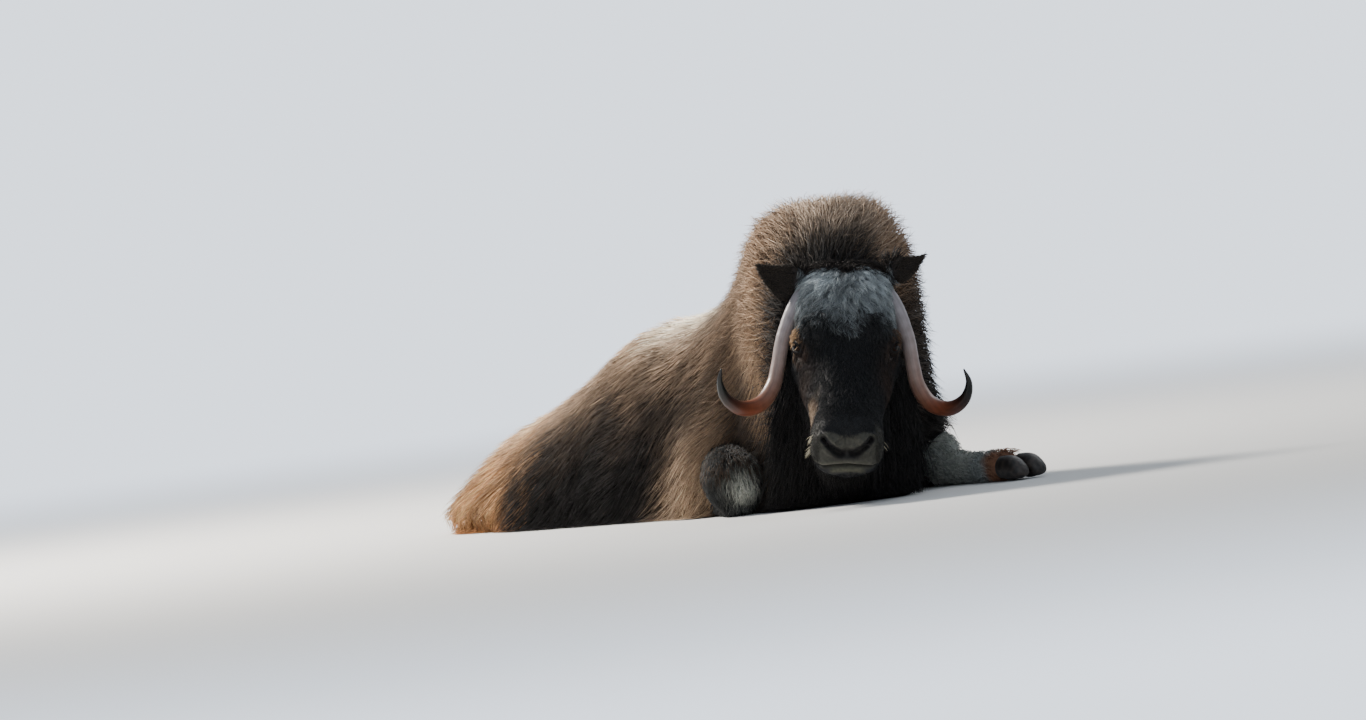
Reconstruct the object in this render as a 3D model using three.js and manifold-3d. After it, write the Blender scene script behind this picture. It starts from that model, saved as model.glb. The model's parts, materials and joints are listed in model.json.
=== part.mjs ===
// A muskox cow lying at rest, life size, in millimetres.
// Frame: +Z up with the floor at z = 0, -Y from the rump to the chest, -X the animal's right side.
// The head is turned to the animal's right and is built in a group of its own.
import * as THREE from "three";
import { mergeVertices } from "three/addons/utils/BufferGeometryUtils.js";
import Module from "manifold-3d";

const wasm = await Module();
wasm.setup();
const { Manifold } = wasm;
const { sin, cos, abs, sign, min, max, pow, exp, hypot, PI } = Math;
const degrees = THREE.MathUtils.degToRad;
const vector = (x, y, z) => new THREE.Vector3(x, y, z);

// Driving dimensions
const GAP = 0.3; // between touching parts
const HUMP = 692; // top of the shoulder hump over the floor, tips of the hair
const BACK = 444; // top of the back behind the saddle
const HALF_WIDTH = 274; // of the barrel at mid height
const SKIRT = 324; // half width of the long hair on the floor
const HEAD_TURN = 34; // degrees to the animal's right
const HEAD_LEAN = 7.5; // degrees to the animal's left, as on the slope it lies on
const FACE_PITCH = 48; // degrees of the face below the horizontal
const HEAD_LENGTH = 517; // poll to lips, along the face
const POLL = 547; // height of the poll
const HEAD_AT = vector(-140, -767, 0); // floor point under the poll
const HORN_SPAN = 283; // half of the spread between the horn tips
const COAT_TOP = 56; // depth of the coat on the back
const COAT_SIDE = 78; // depth of the coat on the flanks
const CORE = 0.5; // share of the coat's depth, from the tips, where the core lies

// Seeded random numbers
let seed = 20817;
function random(low = 0, high = 1) {
  seed = (seed * 1664525 + 1013904223) % 4294967296;
  return low + ((high - low) * seed) / 4294967296;
}

// A smooth curve through rows of [place, value, value, ...], which gives all the values at a place
function smoothTable(rows) {
  const curve = (at, column) => {
    let k = 0;
    while (k < rows.length - 2 && at > rows[k + 1][0]) k += 1;
    const [a, b] = [rows[k], rows[k + 1]];
    const before = rows[max(k - 1, 0)];
    const after = rows[min(k + 2, rows.length - 1)];
    const span = b[0] - a[0];
    const f = min(max((at - a[0]) / span, 0), 1);
    const slopeA = ((b[column] - before[column]) / (b[0] - before[0])) * span;
    const slopeB = ((after[column] - a[column]) / (after[0] - a[0])) * span;
    const [f2, f3] = [f * f, f * f * f];
    return (
      (2 * f3 - 3 * f2 + 1) * a[column] +
      (f3 - 2 * f2 + f) * slopeA +
      (3 * f2 - 2 * f3) * b[column] +
      (f3 - f2) * slopeB
    );
  };
  return (at) => rows[0].slice(1).map((_, i) => curve(at, i + 1));
}

// A closed surface through rings of points, with a pole at each end
function loft(rings, startPole, endPole) {
  const sides = rings[0].length;
  const points = [startPole, ...rings.flat(), endPole];
  const last = points.length - 1;
  const at = (ring, side) => 1 + ring * sides + (side % sides);
  const faces = [];
  for (let j = 0; j < sides; j += 1) {
    faces.push(0, at(0, j + 1), at(0, j));
    faces.push(last, at(rings.length - 1, j), at(rings.length - 1, j + 1));
    for (let i = 0; i < rings.length - 1; i += 1) {
      faces.push(at(i, j), at(i, j + 1), at(i + 1, j));
      faces.push(at(i, j + 1), at(i + 1, j + 1), at(i + 1, j));
    }
  }
  const geometry = new THREE.BufferGeometry().setFromPoints(points);
  geometry.setIndex(faces);
  return geometry;
}

// A three.js geometry as a solid, turned so that its faces point out
function solidOf(geometry) {
  const bare = geometry.clone();
  for (const name of Object.keys(bare.attributes)) {
    if (name !== "position") bare.deleteAttribute(name);
  }
  const merged = mergeVertices(bare, 1e-3);
  const triVerts = new Uint32Array(merged.index.array);
  const p = merged.attributes.position.array;
  let volume = 0;
  for (let i = 0; i < triVerts.length; i += 3) {
    const [a, b, c] = [0, 1, 2].map((k) => 3 * triVerts[i + k]);
    volume +=
      p[a] * (p[b + 1] * p[c + 2] - p[b + 2] * p[c + 1]) -
      p[a + 1] * (p[b] * p[c + 2] - p[b + 2] * p[c]) +
      p[a + 2] * (p[b] * p[c + 1] - p[b + 1] * p[c]);
  }
  if (volume < 0) {
    for (let i = 0; i < triVerts.length; i += 3) {
      [triVerts[i + 1], triVerts[i + 2]] = [triVerts[i + 2], triVerts[i + 1]];
    }
  }
  return new Manifold(new wasm.Mesh({ numProp: 3, vertProperties: p, triVerts }));
}

// The largest closed surface of a solid, without loose scraps or sealed hollows
function mainBody(solid) {
  const bodies = solid.decompose();
  return bodies.reduce((a, b) => (a.volume() > b.volume() ? a : b));
}

function geometryOf(solid) {
  const mesh = solid.getMesh();
  const points = new Float32Array(mesh.numVert * 3);
  for (let i = 0; i < mesh.numVert; i += 1) {
    const from = i * mesh.numProp;
    points.set(mesh.vertProperties.subarray(from, from + 3), i * 3);
  }
  const geometry = new THREE.BufferGeometry();
  geometry.setAttribute("position", new THREE.BufferAttribute(points, 3));
  geometry.setIndex(new THREE.BufferAttribute(new Uint32Array(mesh.triVerts), 1));
  geometry.computeVertexNormals();
  return geometry;
}

// A round or oval limb along a curve through points; radii rows are [share of the length, across, upright]
function limb(points, radii, { sides = 10, steps = 12, grow = 0, up = vector(0, 0, 1) } = {}) {
  const curve = new THREE.CatmullRomCurve3(points, false, "centripetal");
  const size = smoothTable(radii);
  const rings = [];
  for (let i = 0; i <= steps; i += 1) {
    const share = i / steps;
    const centre = curve.getPointAt(share);
    const along = curve.getTangentAt(share);
    const across = vector(0, 0, 0).crossVectors(along, up).normalize();
    const upright = vector(0, 0, 0).crossVectors(across, along);
    const [wide, high] = size(share);
    const ring = [];
    for (let j = 0; j < sides; j += 1) {
      const turn = (2 * PI * j) / sides;
      ring.push(
        centre
          .clone()
          .addScaledVector(across, (wide + grow) * cos(turn))
          .addScaledVector(upright, (high + grow) * sin(turn)),
      );
    }
    rings.push(ring);
  }
  const end = (share, out) =>
    curve.getPointAt(share).addScaledVector(curve.getTangentAt(share), out);
  const [firstCap, lastCap] = [size(0)[1] * 0.5 + grow, size(1)[1] * 0.5 + grow];
  return solidOf(loft(rings, end(0, -firstCap), end(1, lastCap)));
}

// An oval ball with its three half sizes
function ball(centre, sizes, { turn = [0, 0, 0], around = 14, down = 10 } = {}) {
  const geometry = new THREE.SphereGeometry(1, around, down);
  const matrix = new THREE.Matrix4().compose(
    centre,
    new THREE.Quaternion().setFromEuler(new THREE.Euler(...turn.map(degrees))),
    vector(...sizes),
  );
  return solidOf(geometry.applyMatrix4(matrix));
}

// Neck and trunk: one mass on a bent spine, with the hair reaching the floor all round.
// Rows: x, y, heading to the right in degrees, lean of the top to the left, top, half width,
// half width on the floor, roundness of the top
const SPINE = [
  [-165, -800, 34, 0, 470, 112, 142, 0.6],
  [-125, -745, 34, 10, 556, 156, 190, 0.5],
  [-80, -690, 32, 22, 632, 196, 230, 0.4],
  [-44, -635, 27, 34, 684, 214, 252, 0.32],
  [-16, -570, 18, 36, HUMP, 212, 262, 0.34],
  [0, -490, 7, 26, 642, 220, 280, 0.48],
  [2, -410, 2, 10, 558, 238, 296, 0.6],
  [0, -325, 0, 0, 506, 252, 303, 0.65],
  [0, -245, 0, 0, 476, 262, 308, 0.68],
  [0, -100, 0, 0, 455, HALF_WIDTH, 317, 0.74],
  [0, 60, 0, 0, BACK, HALF_WIDTH, SKIRT, 0.78],
  [0, 220, 0, 0, 372, 270, SKIRT, 0.8],
  [0, 360, 0, 0, 316, 258, 320, 0.82],
  [0, 490, 0, 0, 278, 240, 312, 0.84],
  [0, 610, 0, 0, 240, 214, 302, 0.86],
  [0, 710, 0, 0, 198, 178, 292, 0.88],
  [0, 785, 0, 0, 122, 120, 222, 0.88],
  [0, 835, 0, 0, 36, 44, 98, 0.88],
];
const spineRows = [];
for (const row of SPINE) {
  const before = spineRows.at(-1);
  const place = before ? before[0] + hypot(row[0] - before[1], row[1] - before[2]) : 0;
  spineRows.push([place, ...row]);
}
const spine = smoothTable(spineRows);
const SPINE_LENGTH = spineRows.at(-1)[0];
// Place along the spine for a y of the straight part
const placeOf = (y) => SPINE_LENGTH - (SPINE.at(-1)[1] - y);

// Upper arms and thighs swell the coat, and the mane spreads over the left foreleg:
// side, place along the spine, share down the side, amount, length, height
const SWELLINGS = [
  [-1, placeOf(-410), 0.84, 60, 105, 0.22],
  [1, placeOf(-385), 0.8, 50, 120, 0.22],
  [-1, placeOf(350), 0.72, 20, 170, 0.3],
  [1, placeOf(350), 0.74, 56, 170, 0.32],
  [1, placeOf(-640), 0.93, 60, 90, 0.12],
];

// The turn of the section's curve at an even share of its length, from the spine down to the floor
const SECTION_STEPS = 40;
function turnAt(q, wide, high, round) {
  const turns = [0];
  const lengths = [0];
  let [x, z] = [0, high];
  for (let i = 1; i <= SECTION_STEPS; i += 1) {
    const s = i / SECTION_STEPS;
    const turn = ((PI / 2) * pow(s, 2.5)) / (pow(s, 2.5) + pow(1 - s, 2.5));
    const [x2, z2] = [wide * pow(sin(turn), 0.25 + round), high * pow(max(cos(turn), 0), round)];
    turns.push(turn);
    lengths.push(lengths.at(-1) + hypot(x2 - x, z2 - z));
    [x, z] = [x2, z2];
  }
  const wanted = q * lengths.at(-1);
  let k = 0;
  while (k < SECTION_STEPS - 1 && lengths[k + 1] < wanted) k += 1;
  const f = (wanted - lengths[k]) / (lengths[k + 1] - lengths[k]);
  return turns[k] + (turns[k + 1] - turns[k]) * f;
}

// A point of the coat: place along the spine, around from -1 (right, on the floor) over 0 (the spine) to 1 (left),
// and share of the coat's depth from 0 (tips) to 1 (skin)
function coatPoint(place, around, share) {
  const [x, y, heading, lean, top, half, floor, round] = spine(place);
  const q = min(abs(around), 1);
  const thin = min(1, top / 260);
  const high = top - share * COAT_TOP * thin;
  const wide = half - share * COAT_SIDE * thin;
  const skirt = floor - share * COAT_SIDE * thin;
  const turn = turnAt(q, wide, high, round);
  let out = wide * pow(sin(turn), 0.25 + round) + (skirt - wide) * pow(q, 4);
  for (const [side, at, down, amount, length, height] of SWELLINGS) {
    const here = sign(around) === side ? 1 : 0;
    out += here * amount * exp(-pow((place - at) / length, 2) - pow((q - down) / height, 2)) * pow(q, 0.5);
  }
  const z = high * pow(max(cos(turn), 0), round);
  const aside = sign(around) * out + (lean * z) / top;
  const h = degrees(heading);
  return vector(x + aside * cos(h), y - aside * sin(h), z);
}

// The whole mass at one depth of the coat, closed underneath by a flat on the floor
function bodyMass(share, rings = 26, arch = 22) {
  const made = [];
  for (let i = 0; i < rings; i += 1) {
    const place = (SPINE_LENGTH * i) / (rings - 1);
    const ring = [];
    for (let j = 0; j <= arch; j += 1) {
      const point = coatPoint(place, -1 + (2 * j) / arch, share);
      if (j === 0 || j === arch) point.z = 0;
      ring.push(point);
    }
    made.push(ring);
  }
  const pole = (ring) => ring[0].clone().add(ring.at(-1)).multiplyScalar(0.5);
  return solidOf(loft(made, pole(made[0]), pole(made.at(-1))));
}

// Head. The skull's own frame has -Y along the face from the poll to the nose and +Z out of the forehead;
// the head's frame is level, with -Y forward, and stands on the floor point under the poll.
const headMatrix = new THREE.Matrix4().compose(
  HEAD_AT,
  new THREE.Quaternion().setFromEuler(
    new THREE.Euler(0, degrees(HEAD_LEAN), degrees(-HEAD_TURN), "ZYX"),
  ),
  vector(1, 1, 1),
);
const skullMatrix = new THREE.Matrix4()
  .makeRotationX(degrees(FACE_PITCH))
  .setPosition(0, 0, POLL);
// Rows: place along the face, forehead or nose line, underside, half width of brow, of cheek, of jaw, forward slant
const SKULL = [
  [-40, -50, -150, 62, 74, 50, 0],
  [0, -14, -176, 84, 94, 62, 0],
  [60, 6, -200, 94, 102, 74, 0],
  [130, 14, -218, 98, 110, 82, 0],
  [180, 12, -224, 96, 116, 84, 0],
  [215, 6, -224, 92, 116, 84, 0],
  [270, -2, -212, 72, 102, 80, 0],
  [340, -4, -184, 60, 84, 68, 0],
  [400, -2, -164, 58, 76, 62, 0.05],
  [445, -2, -154, 64, 82, 64, 0.12],
  [482, -4, -148, 66, 84, 64, 0.18],
  [504, -16, -142, 60, 78, 60, 0.22],
  [HEAD_LENGTH, -36, -128, 42, 60, 46, 0.24],
];
const skullAt = smoothTable(SKULL);

function skullRing(place, grow, sides) {
  const [top, bottom, brow, cheek, jaw, slant] = skullAt(place);
  const high = top - bottom;
  const outline = [
    [0, top + grow],
    [brow * 0.62 + grow * 0.4, top - 0.03 * high + grow * 0.9],
    [brow + grow * 0.8, top - 0.14 * high + grow * 0.6],
    [cheek + grow, top - 0.42 * high],
    [jaw + grow * 0.9, bottom + 0.2 * high - grow * 0.5],
    [0, bottom - grow],
  ];
  const mirrored = outline.slice(1, -1).map(([x, h]) => [-x, h]).reverse();
  const curve = new THREE.CatmullRomCurve3(
    [...outline, ...mirrored].map(([x, h]) => vector(x, 0, h)),
    true,
    "centripetal",
  );
  const ring = [];
  for (let j = 0; j < sides; j += 1) {
    const p = curve.getPoint(j / sides);
    ring.push(vector(p.x, -place + slant * (p.z + 50), p.z));
  }
  return ring;
}

function skullMass(grow, sides = 26, steps = 22) {
  const first = SKULL[0][0];
  const last = SKULL.at(-1)[0];
  const rings = [];
  for (let i = 0; i <= steps; i += 1) {
    const share = 1 - pow(1 - i / steps, 1.35);
    rings.push(skullRing(first + (last - first) * share, grow, sides));
  }
  return solidOf(loft(rings, vector(0, -first + 8 + grow, -100), vector(0, -last - 5 - grow, -86)));
}

const matrixOf = (matrix) => matrix.elements;
const skullPoint = (x, place, high) => vector(x, -place, high).applyMatrix4(skullMatrix);

// Horn: down beside the cheek, forward and up to the tip. Points: out from the middle, forward, height
const HORN = [
  [54, -22, 504],
  [99, 10, 466],
  [138, 32, 385],
  [153, 50, 312],
  [164, 66, 268],
  [192, 94, 229],
  [235, 130, 219],
  [272, 168, 243],
  [HORN_SPAN + 3, 196, 280],
  [HORN_SPAN, 212, 310],
];
const HORN_RADII = [
  [0, 30, 26],
  [0.14, 23, 21],
  [0.3, 19, 19],
  [0.55, 19, 19],
  [0.72, 16, 16],
  [0.87, 9.5, 9.5],
  [0.97, 4, 4],
  [1, 2, 2],
];
function horn(side, grow) {
  const points = HORN.map(([x, forward, z]) => vector(side * x, -forward, z));
  return limb(points, HORN_RADII, { sides: 10, steps: 16, grow, up: vector(0, 1, 0.2) });
}

// Eye balls sit in the sides of the skull under the brow
const EYE_RADIUS = 20;
const eyePlace = (side) => skullPoint(side * 99, 214, -47);
const eyeBall = (side, grow) =>
  ball(eyePlace(side), [1, 1, 1].map(() => EYE_RADIUS + grow), { around: 12, down: 8 });

// Ear: a leaf that points out and a little up, hollowed in front
function ear(side, grow) {
  const root = vector(side * 112, 10, 492);
  const tip = vector(side * (side < 0 ? 203 : 186), side < 0 ? 2 : 26, side < 0 ? 546 : 554);
  const middle = root.clone().lerp(tip, 0.5).add(vector(0, 0, -8));
  const leaf = limb([root, middle, tip], [
    [0, 20, 22],
    [0.35, 17, 36],
    [0.7, 11, 27],
    [1, 4, 5],
  ], { sides: 10, steps: 7, grow, up: vector(side * -0.4, 0, 1) });
  if (grow > 0) return leaf;
  const cup = ball(middle.clone().add(vector(side * 10, -15, -2)), [46, 13, 21], {
    turn: [0, side * -28, 0],
    around: 10,
    down: 8,
  });
  return leaf.subtract(cup);
}

// Legs, hooves and tail, on the floor. Each builder takes the amount to grow, for cutting room for it.
const onFloor = (solid) => solid.trimByPlane([0, 0, 1], 0);

const forearmRight = (grow) =>
  limb([vector(-176, -372, 112), vector(-252, -490, 92), vector(-318, -612, 68)], [
    [0, 56, 60],
    [0.45, 54, 58],
    [0.75, 60, 60],
    [0.92, 56, 56],
    [1, 38, 38],
  ], { sides: 12, steps: 9, grow });
const cannonRight = (grow) =>
  limb([vector(-318, -600, 28), vector(-284, -528, 29), vector(-250, -460, 29)], [
    [0, 28, 28],
    [0.4, 26, 28],
    [1, 30, 30],
  ], { sides: 10, steps: 6, grow });
const forearmLeft = (grow) =>
  limb([vector(150, -440, 112), vector(190, -570, 88), vector(202, -702, 60)], [
    [0, 58, 60],
    [0.5, 50, 54],
    [0.8, 54, 56],
    [0.94, 50, 52],
    [1, 38, 40],
  ], { sides: 12, steps: 9, grow });
const cannonLeft = (grow) =>
  limb([vector(203, -700, 38), vector(206, -830, 33), vector(210, -932, 32)], [
    [0, 42, 38],
    [0.45, 29, 27],
    [0.8, 32, 30],
    [1, 28, 28],
  ], { sides: 10, steps: 7, grow });
const cannonHindLeft = (grow) =>
  limb([vector(246, 230, 52), vector(322, 140, 42), vector(384, 40, 36)], [
    [0, 44, 50],
    [0.5, 30, 34],
    [0.85, 34, 36],
    [1, 30, 32],
  ], { sides: 10, steps: 7, grow });
const cannonHindRight = (grow) =>
  limb([vector(240, -36, 46), vector(300, -98, 40), vector(350, -150, 36)], [
    [0, 36, 40],
    [0.7, 33, 36],
    [1, 30, 32],
  ], { sides: 10, steps: 6, grow });
const tail = (grow) =>
  limb([vector(0, 700, 168), vector(0, 775, 150), vector(0, 822, 96)], [
    [0, 44, 34],
    [0.5, 40, 30],
    [0.85, 24, 18],
    [1, 10, 8],
  ], { sides: 10, steps: 7, grow });

// A claw of a cloven hoof: from the pastern to the toe, beside the foot's middle line
const CLAW_WIDE = 25;
function claw(from, to, side, grow) {
  const along = to.clone().sub(from).normalize();
  const aside = vector(-along.y, along.x, 0).multiplyScalar(side * (CLAW_WIDE + 0.6));
  const at = (share, z) => from.clone().lerp(to, share).add(aside).setZ(z);
  return onFloor(limb([at(0, 33), at(0.55, 28), at(1, 15)], [
    [0, CLAW_WIDE - 2, 26],
    [0.5, CLAW_WIDE, 28],
    [0.85, CLAW_WIDE - 4, 17],
    [1, CLAW_WIDE - 12, 9],
  ], { sides: 8, steps: 5, grow }));
}
// Name of the foot, pastern, toe
const FEET = [
  ["fore_right", vector(-242, -444, 0), vector(-206, -374, 0), cannonRight],
  ["fore_left", vector(211, -940, 0), vector(214, -1018, 0), cannonLeft],
  ["hind_left", vector(386, 32, 0), vector(400, -44, 0), cannonHindLeft],
  ["hind_right", vector(352, -158, 0), vector(392, -226, 0), cannonHindRight],
];

// A flat lock of hair along a path, with a ridge along its outer face. It is widest past its root
// and tapers to the tip; outward points away from the skin at each point of the path.
const LOCK_TAPER = [0.75, 1, 0.68];
const LOCK_STEPS = LOCK_TAPER.length;
function lock(path, outward, width, thick, grow = 0) {
  const rings = LOCK_TAPER.map((taper, k) => {
    const along = path[k + 1].clone().sub(path[max(k - 1, 0)]).normalize();
    const across = vector(0, 0, 0).crossVectors(along, outward[k]).normalize();
    const up = vector(0, 0, 0).crossVectors(across, along);
    const half = (width * taper) / 2 + 2 * grow;
    return [
      path[k].clone().addScaledVector(across, half).addScaledVector(up, -thick * 0.35 - grow),
      path[k].clone().addScaledVector(up, thick * 0.65 + 2 * grow),
      path[k].clone().addScaledVector(across, -half).addScaledVector(up, -thick * 0.35 - grow),
    ];
  });
  const end = (tip, from) => tip.clone().addScaledVector(tip.clone().sub(from).normalize(), 2 * grow);
  const root = path[0].clone().addScaledVector(outward[0], -12);
  return solidOf(loft(rings, end(root, path[1]), end(path.at(-1), path.at(-2))));
}

// Half the length of the section's arch, from the spine down to the floor
function archLength(place) {
  const [, , , , top, half] = spine(place);
  return 0.9 * (top + half);
}

// The lie of the coat: back along the spine on top, turning down towards the hem, steeper on the neck
function lieAt(place, q) {
  const trunk = min(max((place - 120) / 300, 0), 1);
  const back = 0.72 + 0.2 * trunk - (0.58 + 0.06 * trunk) * pow(q, 0.45 + 0.4 * trunk);
  return [back, Math.sqrt(1 - back * back)];
}

// A lock of the coat hugs the curve of the coat: both edges and the ridge between them are points of it
const ROOT_SHARE = CORE + 0.06;
function coatLock(place, around, length, width) {
  const tip = random(-0.06, 0.04);
  const rings = [];
  let [p, a] = [place, around];
  const step = () => {
    const [back, down] = lieAt(p, abs(a));
    const side = sign(a);
    const arch = archLength(p);
    p = min(p + (back * length) / LOCK_STEPS, SPINE_LENGTH - 4);
    a = side * min(abs(a) + (down * length) / LOCK_STEPS / arch, 0.985);
    return [back, side * down, arch];
  };
  for (let k = 0; k < LOCK_STEPS; k += 1) {
    const share = ROOT_SHARE + (tip - ROOT_SHARE) * pow(k / LOCK_STEPS, 0.45);
    const half = (width * LOCK_TAPER[k]) / 2;
    const [p0, a0] = [p, a];
    const [back, down, arch] = step();
    const edge = (way) =>
      coatPoint(
        max(p0 - way * down * half, 0),
        min(max(a0 + (way * back * half) / arch, -0.99), 0.99),
        share + 0.14,
      );
    rings.push([edge(1), coatPoint(p0, a0, share - 0.14), edge(-1)]);
  }
  const root = coatPoint(place, around, ROOT_SHARE + 0.3);
  return solidOf(loft(rings, root, coatPoint(p, a, tip)));
}

// Locks in staggered columns from the poll to the rump. Every other column starts with one lock on the spine.
const LOCK_SPACING = 164;
function coatLocks() {
  const locks = [];
  const add = (place, around, wider = 1) =>
    locks.push(coatLock(place + random(-14, 14), around, random(235, 280), random(170, 190) * wider));
  let column = 1;
  for (let place = 30; place < SPINE_LENGTH - 90; place += LOCK_SPACING) {
    const rows = Math.round(archLength(place) / LOCK_SPACING);
    if (column % 2 === 0) add(place, 0, 1.4);
    for (let row = column % 2 ? 0.5 : 1; row / rows < 0.91; row += 1) {
      for (const side of [-1, 1]) add(place, side * (row / rows + random(-0.02, 0.02)));
    }
    column += 1;
  }
  return locks;
}

// A lock that hangs from a point of the head's frame; outward is the way it faces
function hangingLock(root, facing, length, width, grow) {
  const [path, outward] = [[], []];
  for (let k = 0; k <= LOCK_STEPS; k += 1) {
    const share = k / LOCK_STEPS;
    const bow = 16 * sin(PI * share) - 4;
    path.push(root.clone().addScaledVector(facing, bow).add(vector(0, 0, -length * share)));
    outward.push(facing);
  }
  return lock(path, outward, width, 17, grow);
}

// Throat hair in tiers on the front of the neck, down to the floor: height, length
const THROAT_TIERS = [
  [350, 215],
  [235, 190],
  [140, 134],
];
function throatLocks() {
  const locks = [];
  THROAT_TIERS.forEach(([z, length], tier) => {
    for (let i = -2; i <= 2; i += 1) {
      const out = 52 * i + (tier % 2 ? 18 : -8);
      const facing = vector(out / 260, -1, 0).normalize();
      locks.push(hangingLock(vector(out, -30, z + random(-10, 10)), facing, length, 86, 0));
    }
  });
  return locks.map(inWorld);
}

// Beard: along both sides of the jaw and under the chin. Side, place along the face, height in the skull's frame
const BEARD = [
  [1, 275, -118],
  [1, 345, -108],
  [1, 415, -104],
  [0.1, 320, -166],
  [0.3, 462, -128],
];
function beardLocks(grow) {
  const locks = [];
  for (const [aside, place, high] of BEARD) {
    for (const side of [-1, 1]) {
      const [, , , , jaw] = skullAt(place);
      const root = skullPoint(side * aside * jaw * 0.9, place, high);
      const facing = vector(side * aside, -0.25 - 0.5 * (1 - aside), 0).normalize();
      const length = min(root.z - 7, 190);
      locks.push(hangingLock(root, facing, length, aside > 0.5 ? 72 : 58, grow));
    }
  }
  return locks;
}

// Curly forehead hair: rows of clumps that flow down the brow, in the skull's frame
const BROW_ROWS = [-6, 28, 62, 96, 130];
function browClumps() {
  const clumps = [];
  BROW_ROWS.forEach((place, row) => {
    const count = 4 + (row % 2);
    for (let i = 0; i < count; i += 1) {
      const out = (i - (count - 1) / 2) * 41 + random(-4, 4);
      const at = place + random(-6, 6);
      const [top, , brow] = skullAt(at);
      const drop = 26 * pow(abs(out) / (brow + 6), 3.2);
      clumps.push(
        ball(vector(out, -at, top - drop + 2), [24, 33, 15], {
          turn: [random(-4, 14), out * 0.3, random(-26, 26)],
          around: 6,
          down: 4,
        }),
      );
    }
  });
  return clumps;
}

// Planes of the thin cuts: each is a normal and a point
const cutPlane = (normal, point) => {
  const n = normal.clone().normalize();
  return [n, n.dot(point)];
};
const keepAhead = (solid, [n, offset]) => solid.trimByPlane([n.x, n.y, n.z], offset + GAP / 2);
const keepBehind = (solid, [n, offset]) => solid.trimByPlane([-n.x, -n.y, -n.z], -offset + GAP / 2);
const NECK_CUT = cutPlane(vector(0, -690, 210), vector(0, -430, 690));
const CHEST_CUT = cutPlane(vector(0, -0.87, -0.5), vector(0, -240, 300));
const BARREL_CUT = cutPlane(vector(0, -0.87, -0.5), vector(0, 215, 260));

// Head: skull with orbits, lids, lips, mouth line and nostrils
const inHeadFrame = (solid) => solid.transform(matrixOf(skullMatrix));
function lids(side) {
  const ring = new THREE.TorusGeometry(EYE_RADIUS - 1, 5.2, 5, 12);
  const look = new THREE.Vector3(side * 0.86, -0.38, 0.34).normalize();
  const aim = new THREE.Quaternion().setFromUnitVectors(vector(0, 0, 1), look);
  const at = vector(side * 99, -214, -47).addScaledVector(look, 8);
  const matrix = new THREE.Matrix4().compose(at, aim, vector(1.12, 0.86, 1.1));
  return solidOf(ring.applyMatrix4(matrix));
}

function headSolid() {
  let head = inHeadFrame(skullMass(0, 20, 17));
  const features = [];
  for (const side of [-1, 1]) {
    features.push(ball(vector(side * 88, -204, -38), [31, 42, 31], { turn: [0, 0, side * 14], around: 10, down: 8 }));
    features.push(lids(side));
    features.push(ball(vector(side * 34, -496, -30), [30, 24, 13], { turn: [0, side * 24, 0], around: 10, down: 6 }));
  }
  const lips = skullMass(5, 20, 17).intersect(ball(vector(0, -520, -94), [92, 78, 25], { around: 20, down: 12 }));
  head = Manifold.union([head, ...features.map(inHeadFrame), inHeadFrame(lips)]);
  const mouth = new THREE.BoxGeometry(260, 170, 4.5).applyMatrix4(
    new THREE.Matrix4().makeRotationX(degrees(-4)).setPosition(0, -500, -94),
  );
  head = head.subtract(inHeadFrame(solidOf(mouth).subtract(skullMass(-7, 16, 10))));
  for (const side of [-1, 1]) {
    const nostril = ball(vector(side * 31, -528, -50), [29, 26, 10], {
      turn: [0, side * 30, 0],
      around: 10,
      down: 6,
    });
    head = head.subtract(inHeadFrame(nostril));
  }
  return head;
}

const inWorld = (solid) => solid.transform(matrixOf(headMatrix));

// All nodes: name, solid, colour, roughness, whether it stands in the head's group
const nodes = [];
const add = (name, solid, color, roughness, inHead = false) =>
  nodes.push([name, mainBody(solid), color, roughness, inHead]);
const FUR = 0x6a4a36;
const FACE = 0x3a2d28;
const HORN_COLOUR = 0x9c8478;
const LEG = 0xa7a59b;
const HOOF = 0x2e2825;

// The head ends in a flat face behind the poll
const HEAD_BACK = [vector(0, -1, 0), -20];
const hair = [...browClumps().map(inHeadFrame), ...beardLocks(0)];
let head = keepAhead(Manifold.union([headSolid(), ...hair]), HEAD_BACK);
const skullRoom = inHeadFrame(skullMass(GAP, 20, 17)).trimByPlane([0, -1, 0], HEAD_BACK[1] - GAP / 2);
const headNeighbours = [inWorld(skullRoom), ...beardLocks(GAP).map(inWorld)];
for (const side of [-1, 1]) {
  const name = side < 0 ? "right" : "left";
  add(`horn_${name}`, horn(side, 0), HORN_COLOUR, 0.45, true);
  add(`ear_${name}`, ear(side, 0).subtract(horn(side, GAP)), FACE, 0.9, true);
  add(`eye_${name}`, eyeBall(side, 0), 0x1a120c, 0.15, true);
  head = Manifold.difference([head, horn(side, GAP), eyeBall(side, GAP), ear(side, GAP)]);
  headNeighbours.push(inWorld(horn(side, GAP)), inWorld(ear(side, GAP)));
}
add("head", head, FACE, 0.95, true);

const limbs = [forearmRight, cannonRight, forearmLeft, cannonLeft, cannonHindLeft, cannonHindRight];
const limbNames = [
  "forearm_right",
  "cannon_fore_right",
  "forearm_left",
  "cannon_fore_left",
  "cannon_hind_left",
  "cannon_hind_right",
];
limbs.forEach((make, i) => {
  let solid = onFloor(make(0));
  if (make === cannonRight) solid = solid.subtract(forearmRight(GAP));
  if (make === cannonLeft) solid = solid.subtract(forearmLeft(GAP));
  add(limbNames[i], solid, LEG, 0.95);
});
for (const [name, from, to, cannon] of FEET) {
  for (const side of [-1, 1]) {
    let solid = claw(from, to, side, 0).subtract(cannon(GAP));
    if (name === "fore_right") solid = solid.subtract(forearmRight(GAP));
    add(`hoof_${name}_${side < 0 ? "a" : "b"}`, solid, HOOF, 0.6);
  }
}
add("tail", tail(0), FUR, 0.95);

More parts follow.
